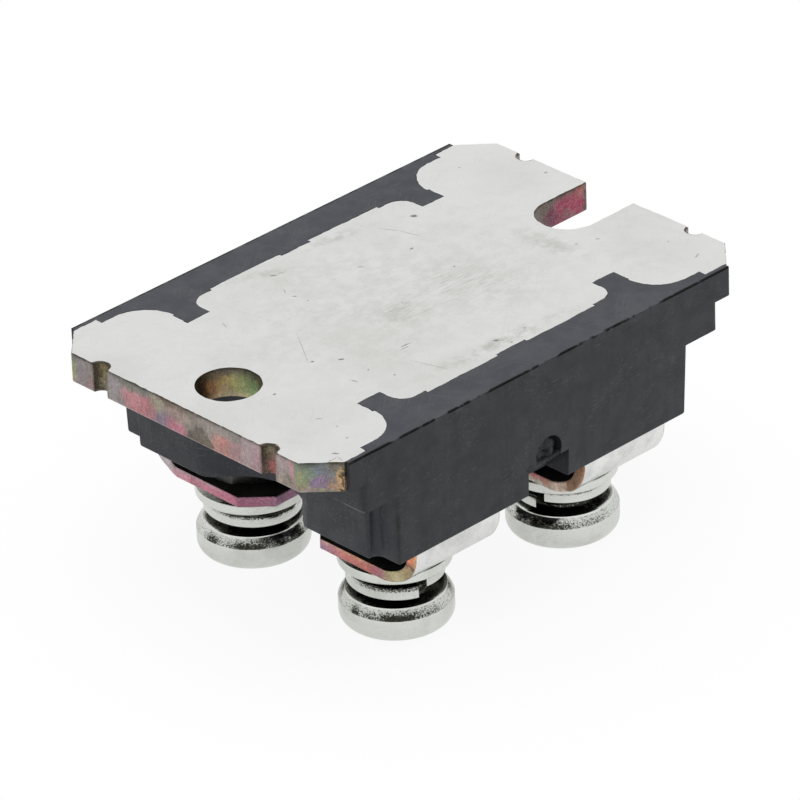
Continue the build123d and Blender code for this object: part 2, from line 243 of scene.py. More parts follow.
def stepped(tree, value, low, high, out_low=0.0, out_high=1.0):
    """A value carried smoothly from one range to another, and held at its ends."""
    inputs = {"Value": value, "From Min": low, "From Max": high, "To Min": out_low, "To Max": out_high}
    return add(tree, "ShaderNodeMapRange", inputs, interpolation_type="SMOOTHSTEP").outputs[0]


def mixed(tree, share, first, second, blend="MIX"):
    """Two colours mixed by a share from 0 to 1."""
    node = add(tree, "ShaderNodeMix", data_type="RGBA", blend_type=blend)
    for socket, value in ((node.inputs[0], share), (node.inputs[6], first), (node.inputs[7], second)):
        if isinstance(value, bpy.types.NodeSocket):
            tree.links.new(value, socket)
        else:
            socket.default_value = value
    return node.outputs[2]


def new_group(name, inputs, outputs):
    """An empty node group: inputs are (name, socket kind, usual value), outputs (name, kind)."""
    tree = bpy.data.node_groups.new(name, "ShaderNodeTree")
    for label, kind, usual in inputs:
        socket = tree.interface.new_socket(label, in_out="INPUT", socket_type=kind)
        if usual is not None:
            socket.default_value = usual
    for label, kind in outputs:
        tree.interface.new_socket(label, in_out="OUTPUT", socket_type=kind)
    return tree, tree.nodes.new("NodeGroupInput").outputs, tree.nodes.new("NodeGroupOutput").inputs


def placed(tree, group, inputs):
    """A node group placed in a material with its own values."""
    node = add(tree, "ShaderNodeGroup", node_tree=group)
    for key, value in inputs.items():
        if isinstance(value, bpy.types.NodeSocket):
            tree.links.new(value, node.inputs[key])
        else:
            node.inputs[key].default_value = value
    return node.outputs


def new_material(name, **settings):
    """A material, its node tree, its shader and its place in millimetres of Object coordinates."""
    material = bpy.data.materials.new(name)
    material.use_nodes = True
    tree = material.node_tree
    tree.nodes.clear()
    shader = add(tree, "ShaderNodeBsdfPrincipled", settings)
    add(tree, "ShaderNodeOutputMaterial", {"Surface": shader.outputs[0]})
    where = add(tree, "ShaderNodeTexCoord").outputs["Object"]
    place = add(tree, "ShaderNodeMapping", {"Vector": where, "Scale": (1 / MM, 1 / MM, 1 / MM)}).outputs[0]
    return material, tree, shader, place


# Clouding: two sizes of soft noise, as plating, moulding and ceramic all show.
clouding, given, put = new_group(
    "clouding",
    [("Place", "NodeSocketVector", None), ("Size", "NodeSocketFloat", 2.0),
     ("Detail", "NodeSocketFloat", 4.0)],
    [("Cloud", "NodeSocketFloat"), ("Grain", "NodeSocketFloat")],
)
cloud_scale = math_node(clouding, "DIVIDE", 1.0, given["Size"])
cloud = add(clouding, "ShaderNodeTexNoise", {
    "Vector": given["Place"], "Scale": cloud_scale, "Detail": given["Detail"], "Roughness": 0.6})
grain_scale = math_node(clouding, "MULTIPLY", cloud_scale, 14.0)
grain = add(clouding, "ShaderNodeTexNoise", {
    "Vector": given["Place"], "Scale": grain_scale, "Detail": 3.0, "Roughness": 0.65})
clouding.links.new(cloud.outputs[0], put["Cloud"])
clouding.links.new(grain.outputs[0], put["Grain"])

# Handling marks: thin straight hairlines in three directions, broken up in patches, and specks.
handling, given, put = new_group(
    "handling_marks",
    [("Place", "NodeSocketVector", None), ("Length", "NodeSocketFloat", 2.0),
     ("Scarcity", "NodeSocketFloat", 0.66), ("Speck", "NodeSocketFloat", 0.05),
     ("Spacing", "NodeSocketFloat", 1.5)],
    [("Hairline", "NodeSocketFloat"), ("Speck", "NodeSocketFloat")],
)
hairline = None
for direction, offset in ((9.0, 3.0), (-38.0, 17.0), (63.0, 41.0)):
    turned = add(handling, "ShaderNodeMapping", {
        "Vector": given["Place"], "Rotation": (0, 0, math.radians(direction)),
        "Location": (offset, offset, offset)})
    drawn = add(handling, "ShaderNodeVectorMath", {0: turned.outputs[0], 1: (0.8, 16.0, 12.0)},
                operation="MULTIPLY")
    fine = add(handling, "ShaderNodeTexNoise", {
        "Vector": drawn.outputs[0], "Scale": math_node(handling, "DIVIDE", 1.0, given["Length"]),
        "Detail": 1.0, "Roughness": 0.4})
    patches = add(handling, "ShaderNodeTexNoise", {"Vector": turned.outputs[0], "Scale": 0.45, "Detail": 3.0})
    there = stepped(handling, patches.outputs[0], 0.36, 0.60)
    strong = math_node(handling, "MULTIPLY", fine.outputs[0], there)
    line = stepped(handling, math_node(handling, "SUBTRACT", strong, given["Scarcity"]), 0.0, 0.07)
    hairline = line if hairline is None else math_node(handling, "MAXIMUM", hairline, line)
cells = add(handling, "ShaderNodeTexVoronoi", {
    "Vector": given["Place"], "Scale": math_node(handling, "DIVIDE", 1.0, given["Spacing"])})
away = math_node(handling, "MULTIPLY", cells.outputs["Distance"], given["Spacing"])
pick = add(handling, "ShaderNodeSeparateColor", {0: cells.outputs["Color"]})
size = math_node(handling, "MULTIPLY", given["Speck"], pick.outputs[0])
dot = math_node(handling, "LESS_THAN", away, size)
chosen = math_node(handling, "GREATER_THAN", pick.outputs[1], 0.55)
handling.links.new(hairline, put["Hairline"])
handling.links.new(math_node(handling, "MULTIPLY", dot, chosen), put["Speck"])


def patched(tree, place, ragged, patches, soft):
    """A mask that is each patch's own strength inside its ellipse and 0 beyond, and fades over the
    soft share of it: patches are (x, y, half length, half width, degrees from +X, strength)."""
    total = None
    for x, y, long, wide, degrees, strength in patches:
        local = add(tree, "ShaderNodeMapping", {
            "Vector": place, "Location": (x, y, PLATE_TOP), "Rotation": (0, 0, math.radians(degrees)),
            "Scale": (long, wide, 40.0)}, vector_type="TEXTURE").outputs[0]
        away = add(tree, "ShaderNodeVectorMath", {0: local}, operation="LENGTH").outputs["Value"]
        here = stepped(tree, math_node(tree, "ADD", away, ragged), 1.0 - soft, 1.0 + soft, strength, 0.0)
        total = here if total is None else math_node(tree, "MAXIMUM", total, here)
    return total


def plated_metal(name, colour, stain, marks, roughness, stain_size=9.0, bump=0.004, grain_share=0.05,
                 spots=(), smears=(), brushed=(), painted_dark=False):
    """Satin plating: its colour drifts to a stain in soft patches, fine grain varies it and its
    roughness, hairlines and specks mark it, and so do its own spots, smears and brushed areas.
    With painted_dark set, the metal is darkened evenly and blackened in grains where its grime attribute is
    high: painted dark reflection and painted shade."""
    material, tree, shader, place = new_material(name, Metallic=1.0)
    broad = placed(tree, clouding, {"Place": place, "Size": stain_size, "Detail": 6.0})
    fine = placed(tree, clouding, {"Place": place, "Size": 0.9, "Detail": 5.0})
    mark = placed(tree, handling, {"Place": place, **marks})
    tone = mixed(tree, stepped(tree, broad["Cloud"], 0.42, 0.66), (*colour, 1), (*stain, 1))
    speckle = stepped(tree, fine["Grain"], 0.3, 0.7, 1 - grain_share, 1 + grain_share)
    tone = mixed(tree, 1.0, tone, speckle, "MULTIPLY")
    tone = mixed(tree, math_node(tree, "MULTIPLY", mark["Hairline"], 0.07), tone, (0.30, 0.29, 0.27, 1))
    tone = mixed(tree, math_node(tree, "MULTIPLY", mark["Speck"], 0.7), tone, (0.09, 0.085, 0.08, 1))
    ragged = stepped(tree, fine["Grain"], 0.3, 0.7, -0.45, 0.45)
    mottled = stepped(tree, fine["Cloud"], 0.36, 0.62)
    if smears:
        smear = math_node(tree, "MULTIPLY", patched(tree, place, ragged, smears, 0.9), mottled)
        tone = mixed(tree, smear, tone, (0.33, 0.32, 0.27, 1))
    if brushed:
        along = add(tree, "ShaderNodeMapping", {
            "Vector": place, "Rotation": (0, 0, math.radians(44)), "Scale": (0.9, 11.0, 1.0)}).outputs[0]
        strokes = add(tree, "ShaderNodeTexNoise", {"Vector": along, "Scale": 1.0, "Detail": 3.0}).outputs[0]
        stroke = math_node(tree, "MULTIPLY", patched(tree, place, ragged, brushed, 0.8),
                           stepped(tree, strokes, 0.50, 0.66))
        tone = mixed(tree, stroke, tone, (0.24, 0.23, 0.18, 1))
    if spots:
        tone = mixed(tree, patched(tree, place, ragged, spots, 0.35), tone, (0.055, 0.05, 0.042, 1))
    # Painted dark reflection and shade: the metal goes to a dark olive, evenly and in grains, where the
    # attribute is high.
    if painted_dark:
        grime = add(tree, "ShaderNodeAttribute", attribute_name="grime").outputs["Fac"]
        grain = placed(tree, clouding, {"Place": place, "Size": 1.2, "Detail": 5.0})["Grain"]
        grains = math_node(tree, "ADD", grime, stepped(tree, grain, 0.32, 0.68, -0.38, 0.38))
        film = math_node(tree, "MULTIPLY", grime, 0.5)
        black = math_node(tree, "MAXIMUM", stepped(tree, grains, 0.32, 0.80), film)
        tone = mixed(tree, black, tone, (0.026, 0.027, 0.019, 1))
    rough = stepped(tree, fine["Cloud"], 0.3, 0.7, roughness - 0.05, roughness + 0.07)
    height = math_node(tree, "SUBTRACT", math_node(tree, "MULTIPLY", fine["Grain"], 0.35), mark["Hairline"])
    raised = add(tree, "ShaderNodeBump", {"Height": height, "Distance": bump * MM, "Strength": 1.0})
    tree.links.new(tone, shader.inputs["Base Color"])
    tree.links.new(rough, shader.inputs["Roughness"])
    tree.links.new(raised.outputs[0], shader.inputs["Normal"])
    return material


def strayed(across, along, reach):
    """Places shifted by crossing sine waves of unlike lengths, so that soft patches get ragged edges."""
    shift = np.sin(9.1 * across + 2.3 * np.sin(5.3 * along))
    shift = shift + 0.6 * np.sin(21.7 * across - 13.9 * along + 1.7)
    drop = np.sin(8.3 * along + 2.1 * np.sin(6.1 * across))
    drop = drop + 0.6 * np.sin(19.3 * along + 15.1 * across)
    return across + reach * shift, along + reach * drop


def dabbed(across, along, dabs):
    """Colour at each point from dabs (across, along, reach across, reach along, screen colour): the
    dabs' mean in linear light, weighted by e to the minus squared distance over the reach, and
    drawn a share of 0.18 to its own grey, as the dull film does."""
    across, along = strayed(across, along, 0.09)
    table = np.array([dab[:4] for dab in dabs])
    screen = np.array([dab[4] for dab in dabs]) / 255
    linear = np.where(screen < 0.04045, screen / 12.92, ((screen + 0.055) / 1.055) ** 2.4)
    off_x, off_y, reach_x, reach_y = across[:, None] - table[:, 0], along[:, None] - table[:, 1], *table.T[2:]
    power = -(off_x / reach_x) ** 2 - (off_y / reach_y) ** 2
    share = np.exp(power - power.max(axis=1, keepdims=True))
    colour = share @ linear / share.sum(axis=1, keepdims=True)
    return 0.82 * colour + 0.18 * colour.mean(axis=1, keepdims=True)


def sheared_metal(name, roughness=0.42, dust=0.40, tear=(8.0, 8.0, 1.1)):
    """A sheared edge: the tint that each place of the piece has, with the painted shade and
    reflection carried in it, under tear marks, grit, grey dust, pits and pale specks, with a ragged
    line of painted dark reflection at its rim from its rim attribute."""
    material, tree, shader, place = new_material(name, Metallic=0.9)
    tint = add(tree, "ShaderNodeAttribute", attribute_name="tint").outputs["Color"]
    rim = add(tree, "ShaderNodeAttribute", attribute_name="rim").outputs["Fac"]
    fine = placed(tree, clouding, {"Place": place, "Size": 0.55, "Detail": 6.0})
    broad = placed(tree, clouding, {"Place": place, "Size": 1.3, "Detail": 6.0})
    drawn = add(tree, "ShaderNodeMapping", {"Vector": place, "Scale": tear}).outputs[0]
    torn = add(tree, "ShaderNodeTexNoise", {"Vector": drawn, "Scale": 1.0, "Detail": 4.0, "Roughness": 0.7})
    grit = add(tree, "ShaderNodeTexNoise", {"Vector": place, "Scale": 5.5, "Detail": 5.0, "Roughness": 0.75})
    patchy = stepped(tree, broad["Cloud"], 0.36, 0.64, 1.10, 0.86)
    dusty = stepped(tree, broad["Cloud"], 0.44, 0.66)
    tone = mixed(tree, math_node(tree, "MULTIPLY", dusty, dust), tint, (0.33, 0.29, 0.26, 1))
    pits = stepped(tree, broad["Grain"], 0.55, 0.70)
    tone = mixed(tree, math_node(tree, "MULTIPLY", pits, 0.50), tone, (0.10, 0.08, 0.06, 1))
    pale = stepped(tree, fine["Grain"], 0.55, 0.66)
    tone = mixed(tree, math_node(tree, "MULTIPLY", pale, 0.50), tone, (0.74, 0.69, 0.65, 1))
    tone = mixed(tree, 1.0, tone, stepped(tree, torn.outputs[0], 0.3, 0.7, 0.90, 1.08), "MULTIPLY")
    tone = mixed(tree, 1.0, tone, patchy, "MULTIPLY")
    tone = mixed(tree, 1.0, tone, stepped(tree, grit.outputs[0], 0.36, 0.64, 0.80, 1.14), "MULTIPLY")
    # Painted dark reflection: the rim attribute draws a ragged near-black line along the edge.
    ragged = math_node(tree, "MULTIPLY", rim, stepped(tree, fine["Cloud"], 0.34, 0.54, 0.35, 1.0))
    tone = mixed(tree, math_node(tree, "MULTIPLY", ragged, 0.9), tone, (0.050, 0.044, 0.030, 1))
    height = math_node(tree, "ADD", math_node(tree, "MULTIPLY", grit.outputs[0], 1.6), torn.outputs[0])
    raised = add(tree, "ShaderNodeBump", {"Height": height, "Distance": 0.025 * MM, "Strength": 0.9})
    rough = stepped(tree, fine["Cloud"], 0.3, 0.7, roughness - 0.1, roughness + 0.15)
    tree.links.new(tone, shader.inputs["Base Color"])
    tree.links.new(rough, shader.inputs["Roughness"])
    tree.links.new(raised.outputs[0], shader.inputs["Normal"])
    return material


# Marks that this plate's face has: dark nicks and scratches, worn smears and brushed areas.
NICKS = [
    (8.21, 7.19, 0.22, 0.14, -40, 0.85), (4.99, 4.14, 0.12, 0.08, 0, 0.7),
    (1.06, 4.82, 0.17, 0.05, -45, 0.55), (-3.48, 8.16, 0.22, 0.09, -40, 0.6),
    (-2.97, 8.06, 0.3, 0.05, -20, 0.35), (-4.44, 6.14, 0.25, 0.05, 60, 0.35),
    (-4.48, 5.14, 0.17, 0.07, -45, 0.6), (-4.32, 4.11, 0.08, 0.06, 0, 0.5),
    (5.12, 0.40, 0.09, 0.07, 0, 0.55), (-0.47, -0.52, 0.08, 0.06, 0, 0.5),
    (-9.63, -1.82, 0.11, 0.09, 0, 0.75), (-8.2, -2.93, 0.18, 0.09, -30, 0.75),
    (-8.0, -5.16, 0.09, 0.07, 0, 0.6), (-7.34, -6.84, 0.08, 0.07, 0, 0.5),
    (-9.58, -5.53, 0.24, 0.05, -80, 0.6), (-14.09, -3.05, 0.11, 0.08, 0, 0.75),
    (-4.2, -4.62, 0.42, 0.05, -3, 0.6), (-4.45, -4.85, 0.32, 0.04, -3, 0.55),
    (0.04, -8.44, 0.16, 0.10, -30, 0.75), (0.52, -9.32, 0.13, 0.07, 0, 0.55),
    (2.41, -8.63, 0.11, 0.08, 0, 0.5), (18.23, 5.05, 0.11, 0.08, 0, 0.6),
    (14.94, 9.77, 0.08, 0.07, 0, 0.45), (13.94, -3.84, 0.13, 0.08, -45, 0.45),
    (12.51, -3.31, 0.09, 0.07, 0, 0.4), (16.73, -7.47, 0.07, 0.06, 0, 0.4),
    (16.59, -10.15, 0.26, 0.05, 20, 0.55), (-14.41, -7.26, 0.24, 0.05, -40, 0.45),
    (-14.24, -8.8, 0.08, 0.06, 0, 0.5), (-14.84, -10.28, 0.09, 0.06, 0, 0.5),
    (-16.65, -11.11, 0.21, 0.08, -50, 0.65), (-8.87, -0.15, 1.80, 0.035, 56.6, 0.30),
    (5.87, 6.98, 0.63, 0.035, -62, 0.40), (6.36, 5.68, 0.77, 0.035, -74.6, 0.40),
    (-4.96, -7.6, 1.2, 0.035, -72.6, 0.35), (-8.0, 5.45, 3.2, 0.03, -80.6, 0.10),
    (-6.8, -1.55, 3.9, 0.03, -79.8, 0.07), (-10.1, 5.7, 0.35, 0.05, 70, 0.3),
    (-17.38, -11.56, 0.52, 0.035, 3, 0.55), (-16.9, -11.8, 0.28, 0.035, 82, 0.5),
]
SMEARS = [
    (0.3, 0.2, 10.5, 6.5, -4, 0.13), (0.1, -8.75, 4.4, 0.55, -3, 0.50), (2.7, 8.85, 2.3, 0.45, -8, 0.40),
    (-4.0, 8.8, 1.7, 0.45, -20, 0.32), (-1.6, -1.5, 1.9, 1.5, 0, 0.30),
    (11.45, -1.9, 2.7, 0.75, -86, 0.36), (3.6, -1.0, 5.5, 4.5, -45, 0.16),
    (-8.3, -2.0, 2.2, 1.2, 30, 0.12), (0.0, 5.5, 5.0, 2.5, -20, 0.14), (14.0, -8.0, 2.0, 1.5, 10, 0.10),
]
BRUSHED = [
    (0.5, 0.5, 8.5, 5.5, -20, 0.10), (3.9, -1.5, 3.0, 1.5, -46, 0.34), (-0.6, -1.2, 1.6, 1.3, -46, 0.34),
    (-4.6, 1.8, 2.4, 1.2, -46, 0.16),
]
plate_face = plated_metal(
    "plate_nickel_face", (0.712, 0.712, 0.704), (0.664, 0.663, 0.646),
    {"Length": 1.6, "Scarcity": 0.60, "Speck": 0.05, "Spacing": 1.9}, 0.33, grain_share=0.025,
    spots=NICKS, smears=SMEARS, brushed=BRUSHED)
plate_edge = sheared_metal("plate_sheared_edge")

# One quarter of the outline, in the +X +Y corner, from the end to the middle of the side.
quarter = np.concatenate([
    turn((PLATE_END_X, TIE_NOTCH_Y), TIE_NOTCH_RADIUS, -90, -270, 13),
    [(PLATE_END_X, PLATE_SIDE_Y - PLATE_CORNER), (PLATE_END_X - PLATE_CORNER, PLATE_SIDE_Y),
     (SHOULDER_X, PLATE_SIDE_Y), (SHOULDER_X, LOBE_Y)],
    turn((LOBE_X, LOBE_Y - LOBE_RADIUS), LOBE_RADIUS, 90, 180, 19),
    [(LOCK_SLOT_X[0], LOBE_Y - LOBE_RADIUS), (LOCK_SLOT_X[0], LOCK_SLOT_FLOOR_Y),
     (LOCK_SLOT_X[1], LOCK_SLOT_FLOOR_Y)],
    turn((LOCK_SLOT_X[1] - MIDDLE_RADIUS, MIDDLE_Y - MIDDLE_RADIUS), MIDDLE_RADIUS, 0, 90, 11),
    [(PAD_X, MIDDLE_Y), (PAD_X, MIDDLE_Y + PAD_RISE), (DIP_X, MIDDLE_Y + PAD_RISE), (DIP_X, MIDDLE_Y)],
])
slot_corner = np.array([(PLATE_END_X, SLOT_HALF)])
upper = np.concatenate([slot_corner, quarter])
left = (quarter * (-1, 1))[::-1]
half_outline = np.concatenate([upper, left])
slot_root = turn((HOLE_X, 0), SLOT_HALF, 270, 90, 37)
outline = np.concatenate([half_outline, (half_outline * (1, -1))[::-1], slot_root])
outline = divided(outline, 0.11)
# Points close to a tie notch's corners make room for its flared lip.
in_from_end = PLATE_END_X - np.abs(outline[:, 0])
past_notch = np.hypot(in_from_end, np.abs(outline[:, 1]) - TIE_NOTCH_Y) - TIE_NOTCH_RADIUS
on_arc = (past_notch < 0.005) & ((in_from_end > 0.15) | (in_from_end < 0.001))
outline = outline[on_arc | (past_notch > 0.17)]
hole = turn((-HOLE_X, 0), HOLE_RADIUS, 360, 0, 97)[:-1]


def burr(loop, seed):
    """How far the face's edge is worn back: fine and coarse noise, and the flare at each tie notch."""
    fine = waviness(len(loop), 5.0, seed)
    coarse = waviness(len(loop), 25.0, seed + 1)
    off_notch = np.hypot(np.abs(loop[:, 0]) - PLATE_END_X, np.abs(loop[:, 1]) - TIE_NOTCH_Y)
    flare = np.clip(1 - (off_notch - TIE_NOTCH_RADIUS) / 0.10, 0, 1)
    return np.clip(0.03 + 0.015 * fine + 0.015 * coarse, 0.004, 0.08) + 0.10 * flare


plate_levels = [(0.0, 0.0), (0.05, 0.004), *((depth, 0.0) for depth in np.linspace(0.15, 1.92, 18).tolist()),
                (2.0, 0.005), (2.05, 0.02), (2.08, 0.045), (PLATE_THICKNESS, 0.08)]
points, walls, caps = sheet([(outline, burr(outline, 3)), (hole, burr(hole, 9))], plate_levels)
x, y, depth = points.T

# Tints of the sheared edge: heat and the press left coloured films, different at every place; some places
# also carry painted shade and painted reflection.
tint = np.tile(dabbed(np.zeros(1), np.zeros(1), [(0, 0, 1, 1, (156, 146, 138))]), (len(points), 1))
off_notch = np.hypot(np.abs(x) - PLATE_END_X, np.abs(y) - TIE_NOTCH_Y)
in_notch = (off_notch < TIE_NOTCH_RADIUS + 0.12) & (x < 0)
end_face = (x < -PLATE_END_X + 0.35) & ~in_notch
slot_end = (x > PLATE_END_X - 0.35) & (off_notch > TIE_NOTCH_RADIUS + 0.12) & (np.abs(y) > SLOT_HALF)
in_chamfer = np.abs(PLATE_END_X + PLATE_SIDE_Y - PLATE_CORNER - np.abs(x) - np.abs(y)) < 0.35
in_hole = np.hypot(x + HOLE_X, y) < HOLE_RADIUS + 0.4
in_slot = (x > HOLE_X - SLOT_HALF - 0.4) & (np.abs(y) < SLOT_HALF + 0.1)
END_DABS = [
    (9.3, 1.0, 0.9, 0.9, (142, 132, 134)), (8.5, 1.5, 0.4, 0.4, (178, 126, 124)),
    (6.2, 0.9, 0.4, 0.8, (158, 148, 150)), (5.0, 0.3, 0.9, 0.3, (128, 126, 116)),
    (4.6, 1.15, 0.8, 0.35, (196, 128, 134)), (3.4, 1.3, 0.6, 0.35, (202, 114, 126)),
    (2.3, 0.9, 0.35, 0.3, (168, 158, 132)), (2.0, 1.5, 0.4, 0.35, (134, 116, 138)),
    (0.8, 1.6, 0.6, 0.35, (190, 108, 128)), (0.3, 0.9, 0.6, 0.4, (176, 150, 140)),
    (0.2, 0.2, 0.9, 0.25, (122, 104, 88)), (-0.9, 0.8, 0.6, 0.5, (152, 144, 132)),
    (-2.2, 0.6, 0.6, 0.5, (160, 148, 140)), (-3.5, 1.35, 0.6, 0.45, (204, 134, 122)),
    (-4.7, 1.3, 0.5, 0.4, (190, 136, 140)), (-4.0, 0.4, 1.0, 0.3, (148, 140, 132)),
    (-5.7, 1.0, 0.6, 0.7, (174, 150, 152)), (-6.6, 1.4, 0.4, 0.5, (178, 138, 146)),
    (-8.6, 0.9, 0.3, 0.8, (170, 152, 150)), (-9.0, 1.8, 0.4, 0.3, (150, 140, 120)),
    (-9.95, 0.7, 0.2, 0.5, (198, 146, 152)),
]
tint[end_face] = dabbed(y[end_face], depth[end_face], END_DABS)
tint[slot_end] = dabbed(0.9 * y[slot_end] + 0.7, depth[slot_end], END_DABS)
tint[in_chamfer] = dabbed(PLATE_END_X - np.abs(x[in_chamfer]), depth[in_chamfer], [
    (0.05, 1.2, 0.2, 0.5, (160, 164, 112)), (0.35, 0.7, 0.25, 0.5, (124, 142, 112)),
    (0.15, 2.0, 0.3, 0.2, (165, 140, 130)), (0.55, 0.25, 0.4, 0.2, (98, 112, 102)),
    (0.95, 0.5, 0.3, 0.35, (112, 124, 136)), (0.8, 1.4, 0.25, 0.3, (138, 114, 148)),
    (1.1, 1.2, 0.22, 0.3, (142, 110, 146)), (1.35, 0.8, 0.25, 0.5, (122, 128, 134)),
    (1.6, 1.6, 0.2, 0.35, (180, 140, 106)), (1.80, 1.2, 0.06, 0.7, (226, 176, 92)),
    (1.93, 1.0, 0.05, 1.2, (54, 40, 24)), (1.2, 1.95, 0.4, 0.12, (160, 150, 120)),
    (1.6, 0.3, 0.3, 0.3, (118, 112, 92)),
])
side_of_notch = np.where(y < 0, y + TIE_NOTCH_Y, y - TIE_NOTCH_Y)
near_notch, far_notch = in_notch & (y < 0), in_notch & (y > 0)
tint[near_notch] = dabbed(side_of_notch[near_notch], depth[near_notch], [
    (0.5, 1.0, 0.2, 1.5, (74, 62, 40)), (0.1, 0.5, 0.4, 0.35, (122, 116, 82)),
    (0.0, 1.5, 0.36, 0.6, (178, 86, 82)), (-0.55, 1.0, 0.15, 1.0, (120, 100, 74)),
    (0.0, 0.05, 0.7, 0.15, (104, 94, 58)),
])
tint[far_notch] = dabbed(side_of_notch[far_notch], depth[far_notch], [
    (0.5, 1.2, 0.2, 1.2, (70, 58, 30)), (0.15, 0.9, 0.2, 0.5, (152, 140, 74)),
    (-0.2, 1.4, 0.3, 0.7, (124, 118, 94)), (-0.55, 1.0, 0.15, 1.0, (108, 98, 70)),
    (0.0, 0.05, 0.7, 0.15, (108, 92, 56)),
])
# The wall of the hole by its angle from the direction away from the camera's corner: its films' tints,
# darkened towards the sides and back of the hole as painted shade.
turned = (np.degrees(np.arctan2(y, x + HOLE_X)) - 46.5 + 180) % 360 - 180
tint[in_hole] = dabbed(turned[in_hole] / 30, depth[in_hole], [
    (3.0, 1.0, 0.5, 1.5, (34, 22, 10)), (2.1, 1.0, 0.4, 1.5, (56, 36, 14)),
    (1.6, 1.2, 0.2, 1.2, (98, 66, 26)), (1.1, 1.3, 0.4, 0.6, (206, 138, 54)),
    (1.1, 0.3, 0.5, 0.4, (124, 112, 84)), (0.2, 1.1, 0.6, 0.5, (180, 156, 84)),
    (0.2, 0.2, 0.7, 0.25, (112, 98, 88)), (-0.7, 1.1, 0.5, 0.6, (162, 174, 98)),
    (-1.6, 1.2, 0.5, 0.6, (132, 168, 102)), (-1.4, 0.2, 0.6, 0.3, (76, 86, 52)),
    (-2.4, 1.0, 0.5, 1.2, (104, 94, 56)), (0.0, 1.9, 1.6, 0.12, (196, 176, 130)),
    (-4.5, 1.0, 1.0, 1.5, (90, 76, 50)), (4.5, 1.0, 1.0, 1.5, (60, 48, 30)),
])
tint[in_slot] = dabbed(x[in_slot], depth[in_slot], [
    (19.0, 1.0, 0.1, 1.4, (66, 58, 54)), (18.5, 0.4, 0.3, 0.4, (172, 98, 92)),
    (17.9, 1.2, 0.6, 0.6, (168, 48, 84)), (16.9, 1.2, 0.6, 0.7, (158, 46, 84)),
    (16.3, 0.15, 1.2, 0.15, (120, 92, 84)), (15.6, 1.4, 0.5, 0.4, (120, 28, 76)),
    (15.0, 0.5, 0.5, 0.4, (120, 100, 88)), (14.2, 1.0, 0.5, 0.8, (118, 108, 104)),
    (13.4, 1.2, 0.5, 0.9, (148, 144, 140)),
])
# The half-round die mark low on the end face, its outline roughened by closed noise.
mark_angle = np.arctan2(2.15 - depth, y + 1.45)
mark_edge = 1 + 0.10 * np.sin(5 * mark_angle) + 0.06 * np.sin(11 * mark_angle + 1)
in_mark = end_face & (np.hypot((y + 1.45) / 1.12, (depth - 2.1) / 1.15) < mark_edge)
tint[in_mark] = dabbed(y[in_mark], depth[in_mark], [
    (-1.0, 1.6, 0.6, 0.5, (88, 76, 58)), (-2.0, 1.5, 0.5, 0.4, (114, 100, 80)),
    (-1.5, 1.1, 0.5, 0.2, (96, 84, 66)),
])
# The rim line is painted dark reflection along the plate's top edge.
rim = bell(depth, 0.02, 0.13)
worn_low = (0.55 * bell(depth, 2.07, 0.05) * end_face)[:, None]
tint = tint * (1 - worn_low) + worn_low * (0.62, 0.60, 0.58)
plate = make_piece("stamped_plate", np.column_stack((x, y, PLATE_TOP - depth)), [walls, caps],
                   [plate_face, plate_edge], kinds=[1, 0], smooth=40.0, tint=tint, rim=rim)
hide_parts("base_plate")

# ---------------------------------------------------------------------------
# Substrate and diodes, sealed in the moulding: copper-clad ceramic soldered to
# the plate, two chips with bent copper clips, and solder under every joint.
# Their CAD solids are right as they are and get their finishes here.
# ---------------------------------------------------------------------------


def inner_finish(name, colour, second, metallic, roughness, size, bump):
    """A plain finish: two tones in soft clouds, fine grain in colour, roughness and height."""
    material, tree, shader, place = new_material(name, Metallic=metallic)
    cloud = placed(tree, clouding, {"Place": place, "Size": size, "Detail": 5.0})
    tone = mixed(tree, stepped(tree, cloud["Cloud"], 0.38, 0.62), (*colour, 1), (*second, 1))
    tone = mixed(tree, 1.0, tone, stepped(tree, cloud["Grain"], 0.3, 0.7, 0.9, 1.08), "MULTIPLY")
    rough = stepped(tree, cloud["Grain"], 0.3, 0.7, roughness - 0.06, roughness + 0.08)
    raised = add(tree, "ShaderNodeBump", {"Height": cloud["Grain"], "Distance": bump * MM, "Strength": 0.7})
    tree.links.new(tone, shader.inputs["Base Color"])
    tree.links.new(rough, shader.inputs["Roughness"])
    tree.links.new(raised.outputs[0], shader.inputs["Normal"])
    return material


copper = inner_finish("bare_copper", (0.72, 0.36, 0.23), (0.58, 0.26, 0.16), 1.0, 0.34, 1.6, 0.006)
solder = inner_finish("soft_solder", (0.58, 0.58, 0.60), (0.44, 0.44, 0.46), 1.0, 0.30, 0.9, 0.015)
ceramic = inner_finish("fired_ceramic", (0.80, 0.78, 0.72), (0.74, 0.73, 0.69), 0.0, 0.55, 2.4, 0.008)
silicon = inner_finish("metallised_silicon", (0.24, 0.25, 0.30), (0.17, 0.18, 0.23), 0.8, 0.22, 2.0, 0.002)
for node_name, node in nodes.items():
    finish = None
    if "solder" in node_name:
        finish = solder
    elif "copper" in node_name or "pad" in node_name or "clip" in node_name:
        finish = copper
    elif "ceramic" in node_name:
        finish = ceramic
    elif "chip" in node_name:
        finish = silicon
    if finish:
        node.data.materials.clear()
        node.data.materials.append(finish)

# ---------------------------------------------------------------------------
# Moulded body: black filled epoxy, transfer moulded round the plate's edge and
# the terminals. The rim's top face comes smoother from the tool than the
# drafted sides and is painted paler and bluer as its sheen. A film of flash was
# broken off all along its edge, where a broken dark line is painted as shade and dark reflection.
# ---------------------------------------------------------------------------
BODY_SIDE_Y = 12.65
UPPER_BLOCK_Z = 13.6
UPPER_BLOCK_END = 15.8
LOWER_CORNER = (12.82, 12.42)
RECESS_Y = 12.0
RIM_SHADE_INSET = 0.12


